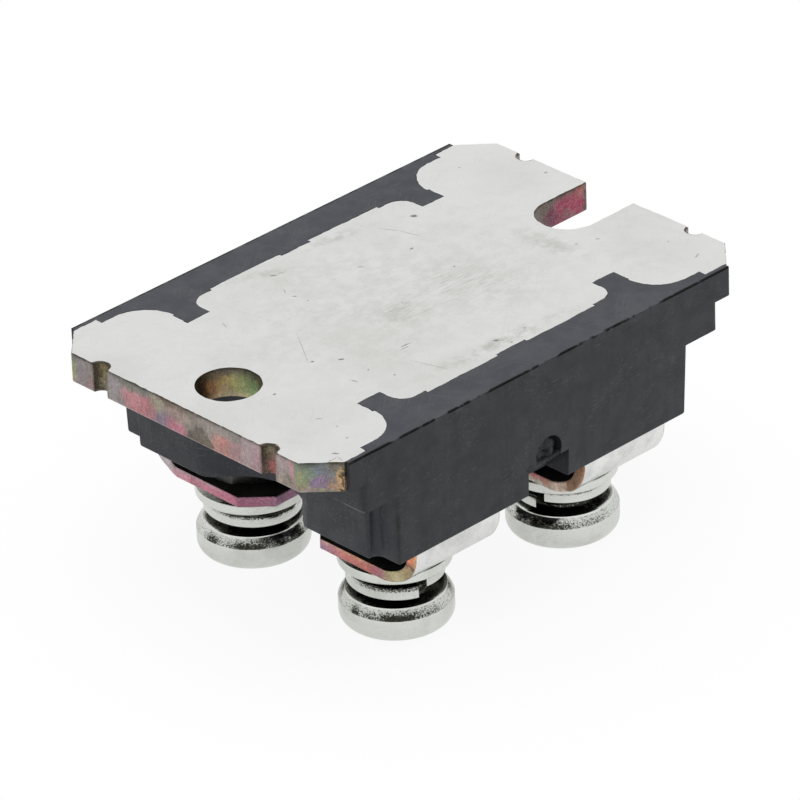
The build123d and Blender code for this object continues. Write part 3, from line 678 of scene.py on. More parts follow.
def moulded(name, colour, second, roughness, bump, end_light_gain=1.0):
    """Filled epoxy: two dark tones in clouds, pale filler specks, rubbed marks and a fine grain,
    with a broken line of painted shade and dark reflection along the rim's upper edge, where the
    flash came off. An end light gain other than 1 paints the ends and recesses paler as light,
    streaks the walls in the way they left the mould, wears the lower block's upright corners and
    leaves a thin pale seam under the upper block's ends."""
    material, tree, shader, place = new_material(name, **{"Specular IOR Level": 0.5})
    broad = placed(tree, clouding, {"Place": place, "Size": 7.0, "Detail": 6.0})
    fine = placed(tree, clouding, {"Place": place, "Size": 1.4, "Detail": 6.0})
    mark = placed(tree, handling, {
        "Place": place, "Length": 1.6, "Scarcity": 0.60, "Speck": 0.045, "Spacing": 1.3})
    tone = mixed(tree, stepped(tree, broad["Cloud"], 0.36, 0.66), (*colour, 1), (*second, 1))
    tone = mixed(tree, 1.0, tone, stepped(tree, fine["Grain"], 0.3, 0.7, 0.86, 1.16), "MULTIPLY")
    tone = mixed(tree, math_node(tree, "MULTIPLY", mark["Hairline"], 0.10), tone, (0.20, 0.20, 0.21, 1))
    tone = mixed(tree, math_node(tree, "MULTIPLY", mark["Speck"], 0.22), tone, (0.30, 0.30, 0.30, 1))
    rough = stepped(tree, fine["Cloud"], 0.3, 0.7, roughness - 0.06, roughness + 0.08)
    at = add(tree, "ShaderNodeSeparateXYZ", {0: place})
    side = math_node(tree, "ABSOLUTE", at.outputs[1])
    if end_light_gain != 1.0:
        # Painted light: the ends and recesses are made paler than the sides.
        gain = stepped(tree, side, RECESS_Y, RECESS_Y + 0.25, end_light_gain, 1.0)
        tone = mixed(tree, 1.0, tone, gain, "MULTIPLY")
        drawn = add(tree, "ShaderNodeMapping", {"Vector": place, "Scale": (3.2, 3.2, 0.16)}).outputs[0]
        streak = add(tree, "ShaderNodeTexNoise", {"Vector": drawn, "Scale": 1.0, "Detail": 4.0}).outputs[0]
        tone = mixed(tree, 1.0, tone, stepped(tree, streak, 0.34, 0.66, 0.90, 1.12), "MULTIPLY")
        end = math_node(tree, "ABSOLUTE", at.outputs[0])
        corner = math_node(tree, "MULTIPLY",
                           stepped(tree, end, LOWER_CORNER[0] - 0.04, LOWER_CORNER[0] + 0.04),
                           stepped(tree, side, LOWER_CORNER[1] - 0.04, LOWER_CORNER[1] + 0.04))
        below = stepped(tree, at.outputs[2], UPPER_BLOCK_Z - 0.2, UPPER_BLOCK_Z - 0.1, 0.85, 0.0)
        worn = math_node(tree, "MULTIPLY", below, stepped(tree, fine["Cloud"], 0.44, 0.54))
        tone = mixed(tree, math_node(tree, "MULTIPLY", corner, worn), tone, (0.002, 0.002, 0.003, 1))
        over_seam = math_node(tree, "SUBTRACT", at.outputs[2], UPPER_BLOCK_Z + 0.05)
        off_seam = math_node(tree, "ABSOLUTE", over_seam)
        seam = math_node(tree, "MULTIPLY", stepped(tree, off_seam, 0.03, 0.06, 0.55, 0.0),
                         stepped(tree, end, UPPER_BLOCK_END - 0.12, UPPER_BLOCK_END - 0.08))
        seam = math_node(tree, "MULTIPLY", seam, stepped(tree, broad["Cloud"], 0.42, 0.52))
        tone = mixed(tree, seam, tone, (0.20, 0.20, 0.21, 1))
    # Painted shade and dark reflection: a broken near-black line along the rim's upper edge, made metallic
    # there so that its reflection is dark too.
    by_side, by_top = BODY_SIDE_Y - RIM_SHADE_INSET, PLATE_TOP - RIM_SHADE_INSET
    line = math_node(tree, "MULTIPLY", stepped(tree, side, by_side - 0.01, by_side + 0.01),
                     stepped(tree, at.outputs[2], by_top - 0.01, by_top + 0.01))
    line = math_node(tree, "MULTIPLY", line, stepped(tree, fine["Cloud"], 0.40, 0.50, 0.0, 1.0))
    tone = mixed(tree, line, tone, (0.004, 0.004, 0.004, 1))
    tree.links.new(line, shader.inputs["Metallic"])
    height = math_node(tree, "ADD", fine["Grain"], math_node(tree, "MULTIPLY", fine["Cloud"], 0.6))
    raised = add(tree, "ShaderNodeBump", {"Height": height, "Distance": bump * MM, "Strength": 0.8})
    tree.links.new(tone, shader.inputs["Base Color"])
    tree.links.new(rough, shader.inputs["Roughness"])
    tree.links.new(raised.outputs[0], shader.inputs["Normal"])
    return material


body_side = moulded("moulding_sides", (0.0102, 0.0115, 0.0158), (0.0138, 0.0152, 0.0200), 0.56, 0.012,
                    end_light_gain=1.6)
# The rim face is the same epoxy, a little smoother, with a paler bluish colour as painted sheen.
rim_face_sheen = moulded("moulding_rim_painted_sheen", (0.026, 0.028, 0.038), (0.032, 0.034, 0.044), 0.50, 0.005)

shell = bmesh.new()
shell.from_mesh(nodes["housing"].data)
bmesh.ops.remove_doubles(shell, verts=shell.verts, dist=0.0005 * MM)
bmesh.ops.dissolve_limit(shell, angle_limit=math.radians(0.5), verts=shell.verts, edges=shell.edges)
bmesh.ops.recalc_face_normals(shell, faces=shell.faces)
body_mesh = bpy.data.meshes.new("moulded_housing")
shell.to_mesh(body_mesh)
shell.free()
if "custom_normal" in body_mesh.attributes:
    body_mesh.attributes.remove(body_mesh.attributes["custom_normal"])
body_mesh.materials.clear()
body_mesh.materials.append(body_side)
body_mesh.materials.append(rim_face_sheen)
count = len(body_mesh.polygons)
centres, normals = np.empty(count * 3, np.float32), np.empty(count * 3, np.float32)
body_mesh.polygons.foreach_get("center", centres)
body_mesh.polygons.foreach_get("normal", normals)
on_rim = (centres[2::3] > (PLATE_TOP - 0.01) * MM) & (normals[2::3] > 0.9)
body_mesh.polygons.foreach_set("material_index", on_rim.astype(np.int32))
body_mesh.shade_smooth()
body_mesh.set_sharp_from_angle(angle=math.radians(25))
housing = bpy.data.objects.new("moulded_housing", body_mesh)
bpy.context.scene.collection.objects.link(housing)
soften = housing.modifiers.new("edge_rounds", "BEVEL")
soften.width = 0.09 * MM
soften.segments = 2
soften.limit_method = "ANGLE"
soften.angle_limit = math.radians(40)
soften.use_clamp_overlap = True
soften.harden_normals = False
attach(housing, "root")
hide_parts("housing")

# ---------------------------------------------------------------------------
# Gate scar: the runner of epoxy that fed the mould was snapped off in its dish
# over the notch. It left a rough stub, and a ragged lip that sags into the notch.
# ---------------------------------------------------------------------------
GATE_X = 0.35
DISH_Z = 11.05
DISH_RADIUS = 1.13
DISH_FLOOR_Y = -11.72


def closed_grid(rows):
    """Rings of points as one shell: four-sided faces between them and one face over each end."""
    count = rows.shape[1]
    ends = [np.arange(count)[None, ::-1], ((len(rows) - 1) * count + np.arange(count))[None, :]]
    return rows.reshape(-1, 3), [grid_faces(len(rows), count), *ends]


def broken_stub():
    """Rings round the dish's middle: its floor plus a hill that stays level over two thirds of the
    radius, higher to the upper right, with ridges across it and seeded noise on top."""
    share, angle = np.meshgrid(np.linspace(0.03, 1, 16), np.radians(np.arange(0, 360, 6.0)), indexing="ij")
    across, up = DISH_RADIUS * share * np.cos(angle), DISH_RADIUS * share * np.sin(angle)
    hill = np.clip((1 - share) / 0.28, 0, 1) ** 0.8
    ridge = 0.5 + 0.5 * np.sin(7.0 * (across - 0.6 * up) + 2.2 * np.sin(5 * up))
    noise = np.random.default_rng(7).normal(size=share.shape)
    top = 0.42 + 0.26 * bell(across, 0.35, 0.32) * bell(up, 0.15, 0.75) + 0.10 * ridge + 0.030 * noise
    front = DISH_FLOOR_Y - hill * np.clip(top, 0.40, 0.86)
    rows = np.stack((GATE_X + across, front, DISH_Z + up), axis=-1)
    return closed_grid(np.concatenate([rows, rows[-1:] + (0, 0.35, 0)]))


def sagging_lip():
    """A rough oval section carried from the notch's left corner to its right one: it is tall at the
    left and thin at the right, and hangs below the straight line by a half sine."""
    share = np.linspace(0, 1, 34)[:, None]
    angle = np.radians(np.arange(0, 360, 20.0))[None, :]
    noise = np.random.default_rng(8).normal(size=(share.size, angle.size))
    tall = 0.36 - 0.25 * share ** 0.6
    reach = 1 + 0.10 * noise
    across = -1.55 + 3.3 * share + 0.0 * angle
    out = -12.08 - (0.50 - 0.08 * share) * np.cos(angle) * reach
    up = 10.60 - 0.14 * np.sin(share * math.pi) + tall * np.sin(angle) * reach
    return closed_grid(np.stack((across, np.maximum(out, -12.62), up), axis=-1))


for scar_name, (points, faces) in (("gate_stub", broken_stub()), ("gate_lip", sagging_lip())):
    scar = make_piece(scar_name, points, faces, [body_side], smooth=50.0)

# ---------------------------------------------------------------------------
# Terminals: nickel-plated copper strip, blanked, pierced and bent, with its
# foot soldered inside. The tab was folded under the nut after moulding, so the
# sheared edges show coloured copper. The inner face is painted near black as the
# shade and dark reflection between the tab and the moulding.
# ---------------------------------------------------------------------------
STRAP = 0.75
TAB_Z = 5.65
TAB_END_Y = 2.05
LEG_Y = 12.22
BEND = 2.6
FOOT_BEND = 1.2
FOOT_TOP_Z = 14.17
FOOT_END_Y = 6.2
TERMINAL_X = 7.5
TERMINAL_Y = 6.4
HALF_TAB = 4.0
HALF_STRAP = 3.75
CLIP = 1.75
NARROW_FROM_Y = 9.5
NARROW_TO_Y = 10.6
FOOT_STEP_Z = 12.22
FOOT_EDGES = (-2.8, 1.0)
OBLONG_HALF = 2.15
OBLONG_STRETCH = 0.3
SIDES = {1: (-1, -1), 2: (1, -1), 3: (-1, 1), 4: (1, 1)}

bend_start = LEG_Y - BEND - TAB_END_Y
bend_end = bend_start + BEND * math.pi / 2
leg_end = bend_end + FOOT_TOP_Z - FOOT_BEND - (TAB_Z + BEND)
foot_start = leg_end + FOOT_BEND * math.pi / 2
strip_end = foot_start + LEG_Y - FOOT_BEND - FOOT_END_Y
shoulder = bend_start + BEND * math.asin((NARROW_TO_Y - LEG_Y + BEND) / BEND)
shoulder_start = NARROW_FROM_Y - TAB_END_Y
foot_step = bend_end + FOOT_STEP_Z - TAB_Z - BEND


def folded(run, depth):
    """Where a point of the flat strip goes: straight along the tab, a quarter turn of the outer
    bend, up the leg, a quarter turn back and along the foot, less its depth along the normal."""
    first = np.clip((run - bend_start) / BEND, 0, math.pi / 2)
    second = np.clip((run - leg_end) / FOOT_BEND, 0, math.pi / 2)
    y = TAB_END_Y + np.minimum(run, bend_start) + BEND * np.sin(first)
    z = TAB_Z + BEND * (1 - np.cos(first)) + np.clip(run - bend_end, 0, leg_end - bend_end)
    y = y - FOOT_BEND * (1 - np.cos(second)) - np.maximum(run - foot_start, 0)
    z = z + FOOT_BEND * np.sin(second)
    angle = first + second
    return y - depth * np.sin(angle), z + depth * np.cos(angle)


strap_outline = divided(np.array([
    (HALF_TAB - CLIP, 0), (HALF_TAB, CLIP), (HALF_TAB, shoulder_start), (HALF_STRAP, shoulder),
    (HALF_STRAP, foot_step), (FOOT_EDGES[1], foot_step), (FOOT_EDGES[1], strip_end),
    (FOOT_EDGES[0], strip_end), (FOOT_EDGES[0], foot_step), (-HALF_STRAP, foot_step), (-HALF_STRAP, shoulder),
    (-HALF_TAB, shoulder_start), (-HALF_TAB, CLIP), (CLIP - HALF_TAB, 0),
]), 0.20)
hole_run = TERMINAL_Y - TAB_END_Y
oblong = np.concatenate([turn((0, hole_run + OBLONG_STRETCH), OBLONG_HALF, 180, 0, 25),
                         turn((0, hole_run - OBLONG_STRETCH), OBLONG_HALF, 0, -180, 25)])
across, down = np.meshgrid(np.linspace(-3.4, 3.4, 9), np.arange(bend_start - 0.4, strip_end - 0.3, 0.26))
net = np.column_stack((across.ravel(), down.ravel()))
off_foot = (net[:, 0] > FOOT_EDGES[1] - 0.2) | (net[:, 0] < FOOT_EDGES[0] + 0.2)
narrow = (net[:, 1] > foot_step - 0.3) & off_foot
net = net[~narrow & (np.hypot(net[:, 0], net[:, 1] - hole_run) > 2.8)]

terminal_face = plated_metal(
    "terminal_nickel", (0.800, 0.806, 0.790), (0.640, 0.646, 0.630),
    {"Length": 1.2, "Scarcity": 0.58, "Speck": 0.05, "Spacing": 1.2}, 0.27, stain_size=1.9, bump=0.004,
    grain_share=0.03)
# Painted shade: the strap's inner face gets a near-black finish for the shade and dark reflection where it
# faces the moulding.
terminal_inner_shade = inner_finish("tab_inner_painted_shade", (0.050, 0.050, 0.046), (0.020, 0.020, 0.018),
                              0.6, 0.55, 1.5, 0.010)
terminal_edge = sheared_metal("terminal_sheared_edge", roughness=0.34, dust=0.16, tear=(7.0, 1.0, 7.0))
# Tints along each strap's edge, with a painted reflection on terminal 2, as (run, depth, reach along, reach
# across, screen colour).
TERMINAL_TINTS_AND_REFLECTION = {
    1: [
        (1.3, 0.4, 0.5, 0.5, (160, 116, 146)), (2.0, 0.25, 0.5, 0.3, (178, 122, 150)),
        (2.2, 0.65, 0.5, 0.15, (204, 150, 142)), (3.0, 0.35, 0.5, 0.4, (206, 122, 140)),
        (4.2, 0.4, 0.7, 0.5, (214, 116, 106)), (5.5, 0.4, 0.6, 0.5, (216, 112, 98)),
        (6.5, 0.35, 0.35, 0.5, (204, 94, 96)), (7.0, 0.55, 0.25, 0.3, (182, 88, 120)),
        (7.3, 0.25, 0.3, 0.3, (192, 122, 128)), (7.85, 0.4, 0.25, 0.6, (178, 160, 108)),
        (8.6, 0.25, 0.5, 0.4, (192, 180, 132)), (9.2, 0.6, 0.5, 0.3, (176, 158, 104)),
        (9.9, 0.3, 0.4, 0.5, (172, 148, 98)), (10.62, 0.4, 0.07, 0.6, (92, 58, 34)),
        (11.0, 0.42, 0.25, 0.30, (250, 142, 92)), (12.2, 0.42, 0.9, 0.30, (242, 134, 86)),
        (11.6, 0.02, 0.9, 0.10, (196, 168, 108)), (4.6, 0.74, 1.9, 0.08, (236, 200, 128)),
    ],
    2: [
        (3.0, 0.6, 1.2, 0.25, (204, 112, 112)), (5.6, 0.60, 0.9, 0.25, (216, 116, 116)),
        (3.0, 0.10, 1.2, 0.25, (188, 190, 168)), (5.8, 0.10, 0.9, 0.24, (208, 210, 190)),
        (7.0, 0.45, 0.25, 0.25, (226, 152, 116)), (7.0, 0.12, 0.3, 0.2, (214, 196, 172)),
        # Near-white dabs at runs 7.9 and 8.5: painted reflection of the white room over this facet's peach
        # tint.
        (7.9, 0.4, 0.40, 0.8, (252, 224, 200)), (8.5, 0.4, 0.30, 0.8, (250, 220, 194)),
        (9.1, 0.3, 0.30, 0.5, (176, 124, 82)), (9.9, 0.55, 0.5, 0.4, (150, 102, 62)),
        (10.4, 0.15, 0.5, 0.3, (186, 138, 98)), (11.2, 0.4, 0.5, 0.5, (158, 108, 68)),
        (12.6, 0.4, 0.8, 0.6, (146, 98, 60)),
    ],
    3: [
        (12.0, 0.4, 1.0, 0.8, (196, 190, 192)), (9.5, 0.5, 1.0, 0.5, (184, 170, 174)),
        (7.6, 0.62, 0.8, 0.2, (164, 142, 150)), (7.2, 0.30, 0.6, 0.3, (212, 140, 156)),
        (5.2, 0.30, 1.0, 0.3, (206, 116, 142)), (5.0, 0.70, 1.6, 0.10, (170, 138, 148)),
        (3.4, 0.3, 0.6, 0.4, (200, 108, 136)), (2.3, 0.35, 0.3, 0.5, (188, 96, 126)),
        (1.2, 0.35, 0.4, 0.5, (160, 84, 118)), (0.5, 0.4, 0.3, 0.5, (166, 96, 128)),
        (0.0, 0.4, 0.08, 0.6, (158, 110, 144)),
    ],
    4: [
        (1.0, 0.4, 0.8, 0.7, (196, 122, 126)), (4.0, 0.4, 1.2, 0.6, (204, 128, 108)),
        (7.0, 0.4, 1.0, 0.6, (186, 116, 126)), (9.0, 0.4, 0.7, 0.6, (172, 152, 110)),
        (11.5, 0.4, 1.0, 0.6, (218, 138, 96)),
    ],
}
strap_levels = [(0.0, 0.10), (0.03, 0.045), *((depth, 0.0) for depth in np.linspace(0.09, 0.64, 8).tolist()),
                (0.71, 0.012), (STRAP, 0.04)]
for number, (side_x, side_y) in SIDES.items():
    wear = np.clip(0.02 + 0.012 * waviness(len(strap_outline), 4.0, 20 + number), 0.0, 0.05)
    hole_wear = np.full(len(oblong), 0.02)
    points, walls, caps = sheet([(strap_outline, wear), (oblong, hole_wear)], strap_levels, net)
    u, run, depth = points.T
    y, z = folded(run, depth)
    x = TERMINAL_X + u
    tint = dabbed(run, depth, TERMINAL_TINTS_AND_REFLECTION[number])
    # A weaker line of painted dark reflection runs along the strap's edge beside its inner face.
    rim = bell(depth, STRAP, 0.04) * 0.4
    # Caps past half the strap's thickness are its inner face, with the painted shade finish.
    within = depth[caps[:, 0]] > STRAP / 2
    strap = make_piece(
        f"folded_terminal_{number}", np.column_stack((side_x * x, side_y * y, z)),
        [walls, caps[~within], caps[within]], [terminal_face, terminal_edge, terminal_inner_shade], kinds=[1, 0, 2],
        smooth=40.0, tint=tint, rim=rim)
    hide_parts(f"terminal_{number}")

# ---------------------------------------------------------------------------
# Nuts: cold-formed plated steel hexagons with both faces chamfered, tapped M4.
# Each lies loose between its tab and the pocket in the moulding, and is painted near black as the shade and
# dark reflection in that pocket.
# ---------------------------------------------------------------------------
NUT_FLATS = 7.0
NUT_HEIGHT = 3.2
NUT_BASE_Z = 6.4
NUT_CHAMFER = 0.5
NUT_FACE_RADIUS = 2.95
BORE_MOUTH = 2.45
BORE_ROOT = 2.42
BORE_THREAD = 0.34
PITCH = 0.7
HANG = {1: (-0.10, -0.10), 2: (0.13, 0.05), 3: (-0.12, 0.24), 4: (0.05, 0.10)}

# Painted shade: the plated nut gets a near-black colour for the shade and dark reflection in its pocket.
nut_steel_painted_shade = plated_metal(
    "nut_steel_painted_shade", (0.110, 0.112, 0.106), (0.060, 0.062, 0.058),
    {"Length": 0.8, "Scarcity": 0.60, "Speck": 0.06, "Spacing": 1.3}, 0.36, stain_size=2.0, bump=0.008,
    grain_share=0.10)


def thread_wave(turns):
    """Height of a thread from root 0 to crest 1: a triangle wave cut off at both ends."""
    tooth = np.abs((turns % 1.0) * 2 - 1)
    return np.clip((tooth - 0.14) / 0.70, 0, 1)


def place_of(number):
    """Where screw, nut and washers of one terminal stand in plan."""
    side_x, side_y = SIDES[number]
    return side_x * TERMINAL_X + HANG[number][0], side_y * TERMINAL_Y + HANG[number][1]


def nut_surface():
    """Rings of a nut round Z: the face radius, the hexagon's reach at each angle, which is half
    the flats over the cosine of the angle from the flat, cut by the chamfer's cone, and the bore."""
    angle = np.radians(np.sort(np.concatenate((np.arange(0, 360, 3.0), np.arange(0, 360, 60) + 0.8,
                                               np.arange(0, 360, 60) - 0.8 + 360 * (np.arange(6) == 0)))))
    reach = NUT_FLATS / 2 / np.cos((angle + math.pi / 6) % (math.pi / 3) - math.pi / 6)
    reach = np.minimum(reach, NUT_FLATS / 2 / math.cos(math.pi / 6) - 0.03)
    corner = NUT_FLATS / 2 / math.cos(math.pi / 6)
    chamfer = NUT_CHAMFER * (reach - NUT_FACE_RADIUS) / (corner - NUT_FACE_RADIUS)
    rows = [(BORE_MOUTH, 0.0), (NUT_FACE_RADIUS, 0.0)]
    rows += [(reach - 0.02, chamfer - 0.012), (reach, chamfer + 0.03)]
    rows += [(reach, NUT_HEIGHT - chamfer - 0.03), (reach - 0.02, NUT_HEIGHT - chamfer + 0.012)]
    rows += [(NUT_FACE_RADIUS, NUT_HEIGHT), (BORE_MOUTH, NUT_HEIGHT)]
    for z in np.linspace(NUT_HEIGHT - 0.2, 0.2, 34):
        rows.append((BORE_ROOT - BORE_THREAD * thread_wave(z / PITCH - angle / (2 * math.pi)), z))
    rows.append((BORE_MOUTH, 0.0))
    rings = [np.column_stack((r * np.cos(angle), r * np.sin(angle), np.broadcast_to(z, angle.shape)))
             for r, z in rows]
    return np.concatenate(rings), grid_faces(len(rows), len(angle))


nut_points, nut_faces = nut_surface()
for number in SIDES:
    x, y = place_of(number)
    nut = make_piece(f"hexagon_nut_{number}", nut_points + (x, y, NUT_BASE_Z), [nut_faces], [nut_steel_painted_shade],
                     smooth=32.0)
    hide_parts(f"nut_{number}")

# ---------------------------------------------------------------------------
# Screws: M4 pan heads, cold headed with a cross recess and rolled threads,
# nickel plated. The module lies on the heads, with every screw backed off.
# ---------------------------------------------------------------------------
HEAD_HEIGHT = 2.6
HEAD_RADIUS = 3.725
RIM_ROUND = 0.8
RING_RADIUS = 3.32
CROWN = 0.15
HEAD_FLAT = 2.2
HEAD_LIFT = 0.03
NECK = 0.3
SHANK = 2.0
ROOT = 1.62
TIP_Z = 10.6
POINT = 0.5
WING = 4.3
WING_WIDTH = 0.95
RECESS_DEPTH = 1.7

fastener = plated_metal(
    "fastener_nickel", (0.705, 0.718, 0.680), (0.620, 0.632, 0.590),
    {"Length": 0.8, "Scarcity": 0.60, "Speck": 0.06, "Spacing": 1.3}, 0.13, stain_size=2.5, bump=0.006,
    grain_share=0.05, painted_dark=True)


def head_rows():
    """Profile of the head from its flat to the shank: the crown, the rim's round, a short
    cylinder, a steep crowned band up to the ring, the dished bearing face and the neck's fillet."""
    rim_round = turn((HEAD_RADIUS - RIM_ROUND, CROWN + RIM_ROUND), RIM_ROUND, -78, 0, 11)
    share = np.linspace(0, 1, 8)
    band_r = HEAD_RADIUS - 0.01 - 0.42 * share - 0.03 * np.sin(share * math.pi) * (share - 1)
    band_z = 1.88 + 0.64 * share + 0.05 * np.sin(share * math.pi)
    wall = [(HEAD_RADIUS, 1.6), (HEAD_RADIUS - 0.005, 1.865)]
    ring = [(RING_RADIUS - 0.04, HEAD_HEIGHT - 0.01), (RING_RADIUS - 0.10, HEAD_HEIGHT - 0.03)]
    dish = [(3.0, HEAD_HEIGHT - 0.12), (2.7, HEAD_HEIGHT - 0.13)]
    neck = turn((SHANK + NECK, HEAD_HEIGHT + NECK - 0.13), NECK, 262, 180, 8)
    band = np.column_stack((band_r, band_z))
    return np.concatenate([[(HEAD_FLAT, HEAD_LIFT)], rim_round, wall, band, ring, dish, neck])


def cross_loop(cross, share, depth):
    """The cross drawn in to a share of its reach, at a depth in the head."""
    return np.column_stack((cross * share, np.full(len(cross), HEAD_LIFT + depth)))


def screw_surface():
    """The head turned round Z, the cross recess let into its flat, and the shank, whose radius
    is the thread's height at its height over the pitch less its share of a turn."""
    angle = np.radians(np.arange(0, 360, 3.75))
    profile = head_rows()
    levels = np.linspace(HEAD_HEIGHT + NECK, TIP_Z, 128)
    wave = thread_wave(levels[:, None] / PITCH - angle[None, :] / (2 * math.pi))
    start = np.clip((levels - HEAD_HEIGHT - NECK) / 0.5, 0, 1)[:, None]
    radius = SHANK - (SHANK - ROOT) * (1 - wave) * start
    tip = SHANK - 0.02 - np.clip(levels - (TIP_Z - POINT), 0, POINT)[:, None]
    radius = np.minimum(radius, tip)
    shape = np.concatenate([np.broadcast_to(profile[:, :1], (len(profile), len(angle))), radius,
                            np.full((1, len(angle)), 0.02)])
    height = np.concatenate([profile[:, 1], levels, [TIP_Z]])[:, None] + np.zeros_like(shape)
    turned = np.stack((shape * np.cos(angle), shape * np.sin(angle), height), axis=-1).reshape(-1, 3)
    faces = grid_faces(len(shape), len(angle))
    last = len(turned) - len(angle) + np.arange(len(angle))

    half, wide = WING / 2, WING_WIDTH / 2
    arm = np.array([(wide, wide + 0.12), (wide + 0.12, wide), (half - 0.12, wide), (half, wide - 0.15),
                    (half, -wide + 0.15), (half - 0.12, -wide), (wide + 0.12, -wide)])
    quarters = [np.array([(math.cos(a), math.sin(a)), (-math.sin(a), math.cos(a))])
                for a in (0, math.pi / 2, math.pi, -math.pi / 2)]
    cross = divided(np.concatenate([arm[::-1][:6] @ turned_by for turned_by in quarters]), 0.15)
    ring = np.column_stack((HEAD_FLAT * np.cos(angle), HEAD_FLAT * np.sin(angle)))
    lip = cross_loop(cross, 1.0, 0.0)
    flat = np.concatenate([np.column_stack((ring, np.full(len(ring), HEAD_LIFT))), lip])
    face = cap_triangles([ring, cross[::-1]], np.zeros((0, 2)))
    face = np.where(face >= len(ring), len(ring) + len(cross) - 1 - (face - len(ring)), face)
    inner = [lip, cross_loop(cross, 0.985, 0.04), cross_loop(cross, 0.93, 0.5), cross_loop(cross, 0.80, 1.1),
             cross_loop(cross, 0.45, RECESS_DEPTH - 0.1), cross_loop(cross, 0.02, RECESS_DEPTH)]
    deep = np.concatenate(inner)
    parts = [turned, flat, deep]
    first = np.cumsum([0] + [len(part) for part in parts])
    return np.concatenate(parts), [faces, last[None, :], face + first[1],
                                   grid_faces(len(inner), len(cross)) + first[2],
                                   (first[3] - len(cross) + np.arange(len(cross)))[None, :]]


# Painted dark reflection on each head's rough shoulder: (degrees from the -X -Y side, half width, strength).
SHOULDER_REFLECTION = {
    1: [(1.5, 21, 1.0), (-46, 5, 0.9), (-29, 9, 0.55), (36, 14, 0.42)], 2: [(-22, 30, 0.85), (30, 14, 0.35)],
    3: [(-3, 21, 0.9), (-47, 8, 0.85), (44, 24, 0.70)], 4: [(0, 25, 1.0), (60, 20, 0.5)],
}
# The same painted dark band goes on, weaker, round the back of each shoulder.
BACK_DARK_BAND = [(150, 26, 0.8), (-125, 20, 0.6)]


def sector(rel, painted_darkness):
    """The strongest of several sectors: one over one plus the fourth power of the angle from its middle
    over its half width, times its strength."""
    return np.max([strength / (1 + ((rel - middle) / half) ** 4) for middle, half, strength in painted_darkness], axis=0)


def from_corner(points):
    """Degrees anticlockwise round Z from the direction of the -X -Y corner, from -180 to 180."""
    return (np.degrees(np.arctan2(points[:, 1], points[:, 0])) - 226.5 + 180) % 360 - 180


screw_points, screw_faces = screw_surface()
for number, twist in ((1, 20.0), (2, 63.0), (3, -15.0), (4, 38.0)):
    x, y = place_of(number)
    cos_t, sin_t = math.cos(math.radians(twist)), math.sin(math.radians(twist))
    spun = screw_points @ np.array([(cos_t, sin_t, 0), (-sin_t, cos_t, 0), (0, 0, 1)])
    radius, height = np.hypot(spun[:, 0], spun[:, 1]), spun[:, 2]
    # Painted dark reflection all round the shoulder, strongest in its sectors, and painted shade and dark
    # reflection over the dish, neck and shank.
    on_shoulder = (radius > RING_RADIUS + 0.02) & (height > 1.87)
    in_dish = (radius < RING_RADIUS - 0.12) & (height > 2.2)
    worst = bell(height, 2.02, 0.30) * sector(from_corner(spun), SHOULDER_REFLECTION[number] + BACK_DARK_BAND)
    grime = on_shoulder * (0.28 + 0.84 * worst) + 0.92 * in_dish
    screw = make_piece(f"pan_screw_{number}", spun + (x, y, 0), screw_faces, [fastener],
                       smooth=28.0, grime=grime)
    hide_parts(f"terminal_screw_{number}")

# ---------------------------------------------------------------------------
# Washers: a plain one blanked from steel strip, round on its punched side, and
# a left-handed split one coiled from square wire with bruised corners.
# ---------------------------------------------------------------------------
FLAT_RADIUS = 3.7
FLAT_THICKNESS = 0.7
WASHER_BORE = 2.05
SPLIT_RADIUS = 3.2
SPLIT_THICKNESS = 0.85
SPLIT_RISE = 0.6
WASHER_GAP = 0.02
SPLIT_Z = {1: 3.05, 2: 2.95, 3: 2.9, 4: 3.0}
SLIT = 11.0
SLIT_FACES = {1: -101.5, 2: -161.5, 3: 40.0, 4: 75.0}
# Sectors of painted dark reflection round each split washer: (degrees from the -X -Y side, half width,
# strength).
COIL_REFLECTION = [(0, 52, 1.0), (130, 45, 0.9), (-115, 30, 0.8)]


def plain_washer():
    """A ring turned round Z: a closed profile with a round of 0.18 below and a burr's corner above."""
    low, high = 0.0, FLAT_THICKNESS
    profile = np.concatenate([
        turn((FLAT_RADIUS - 0.18, low + 0.18), 0.18, -90, 0, 6),
        [(FLAT_RADIUS, high - 0.04), (FLAT_RADIUS - 0.04, high)],
        [(WASHER_BORE + 0.05, high), (WASHER_BORE, high - 0.05)],
        turn((WASHER_BORE + 0.14, low + 0.14), 0.14, 180, 270, 5),
    ])
    angle = np.radians(np.arange(0, 360, 3.0))
    rings = np.stack((np.outer(np.cos(angle), profile[:, 0]), np.outer(np.sin(angle), profile[:, 0]),
                      np.tile(profile[:, 1], (len(angle), 1))), axis=-1)
    rings = np.concatenate([rings, rings[:1]])
    return rings.reshape(-1, 3), [grid_faces(len(rings), len(profile))]


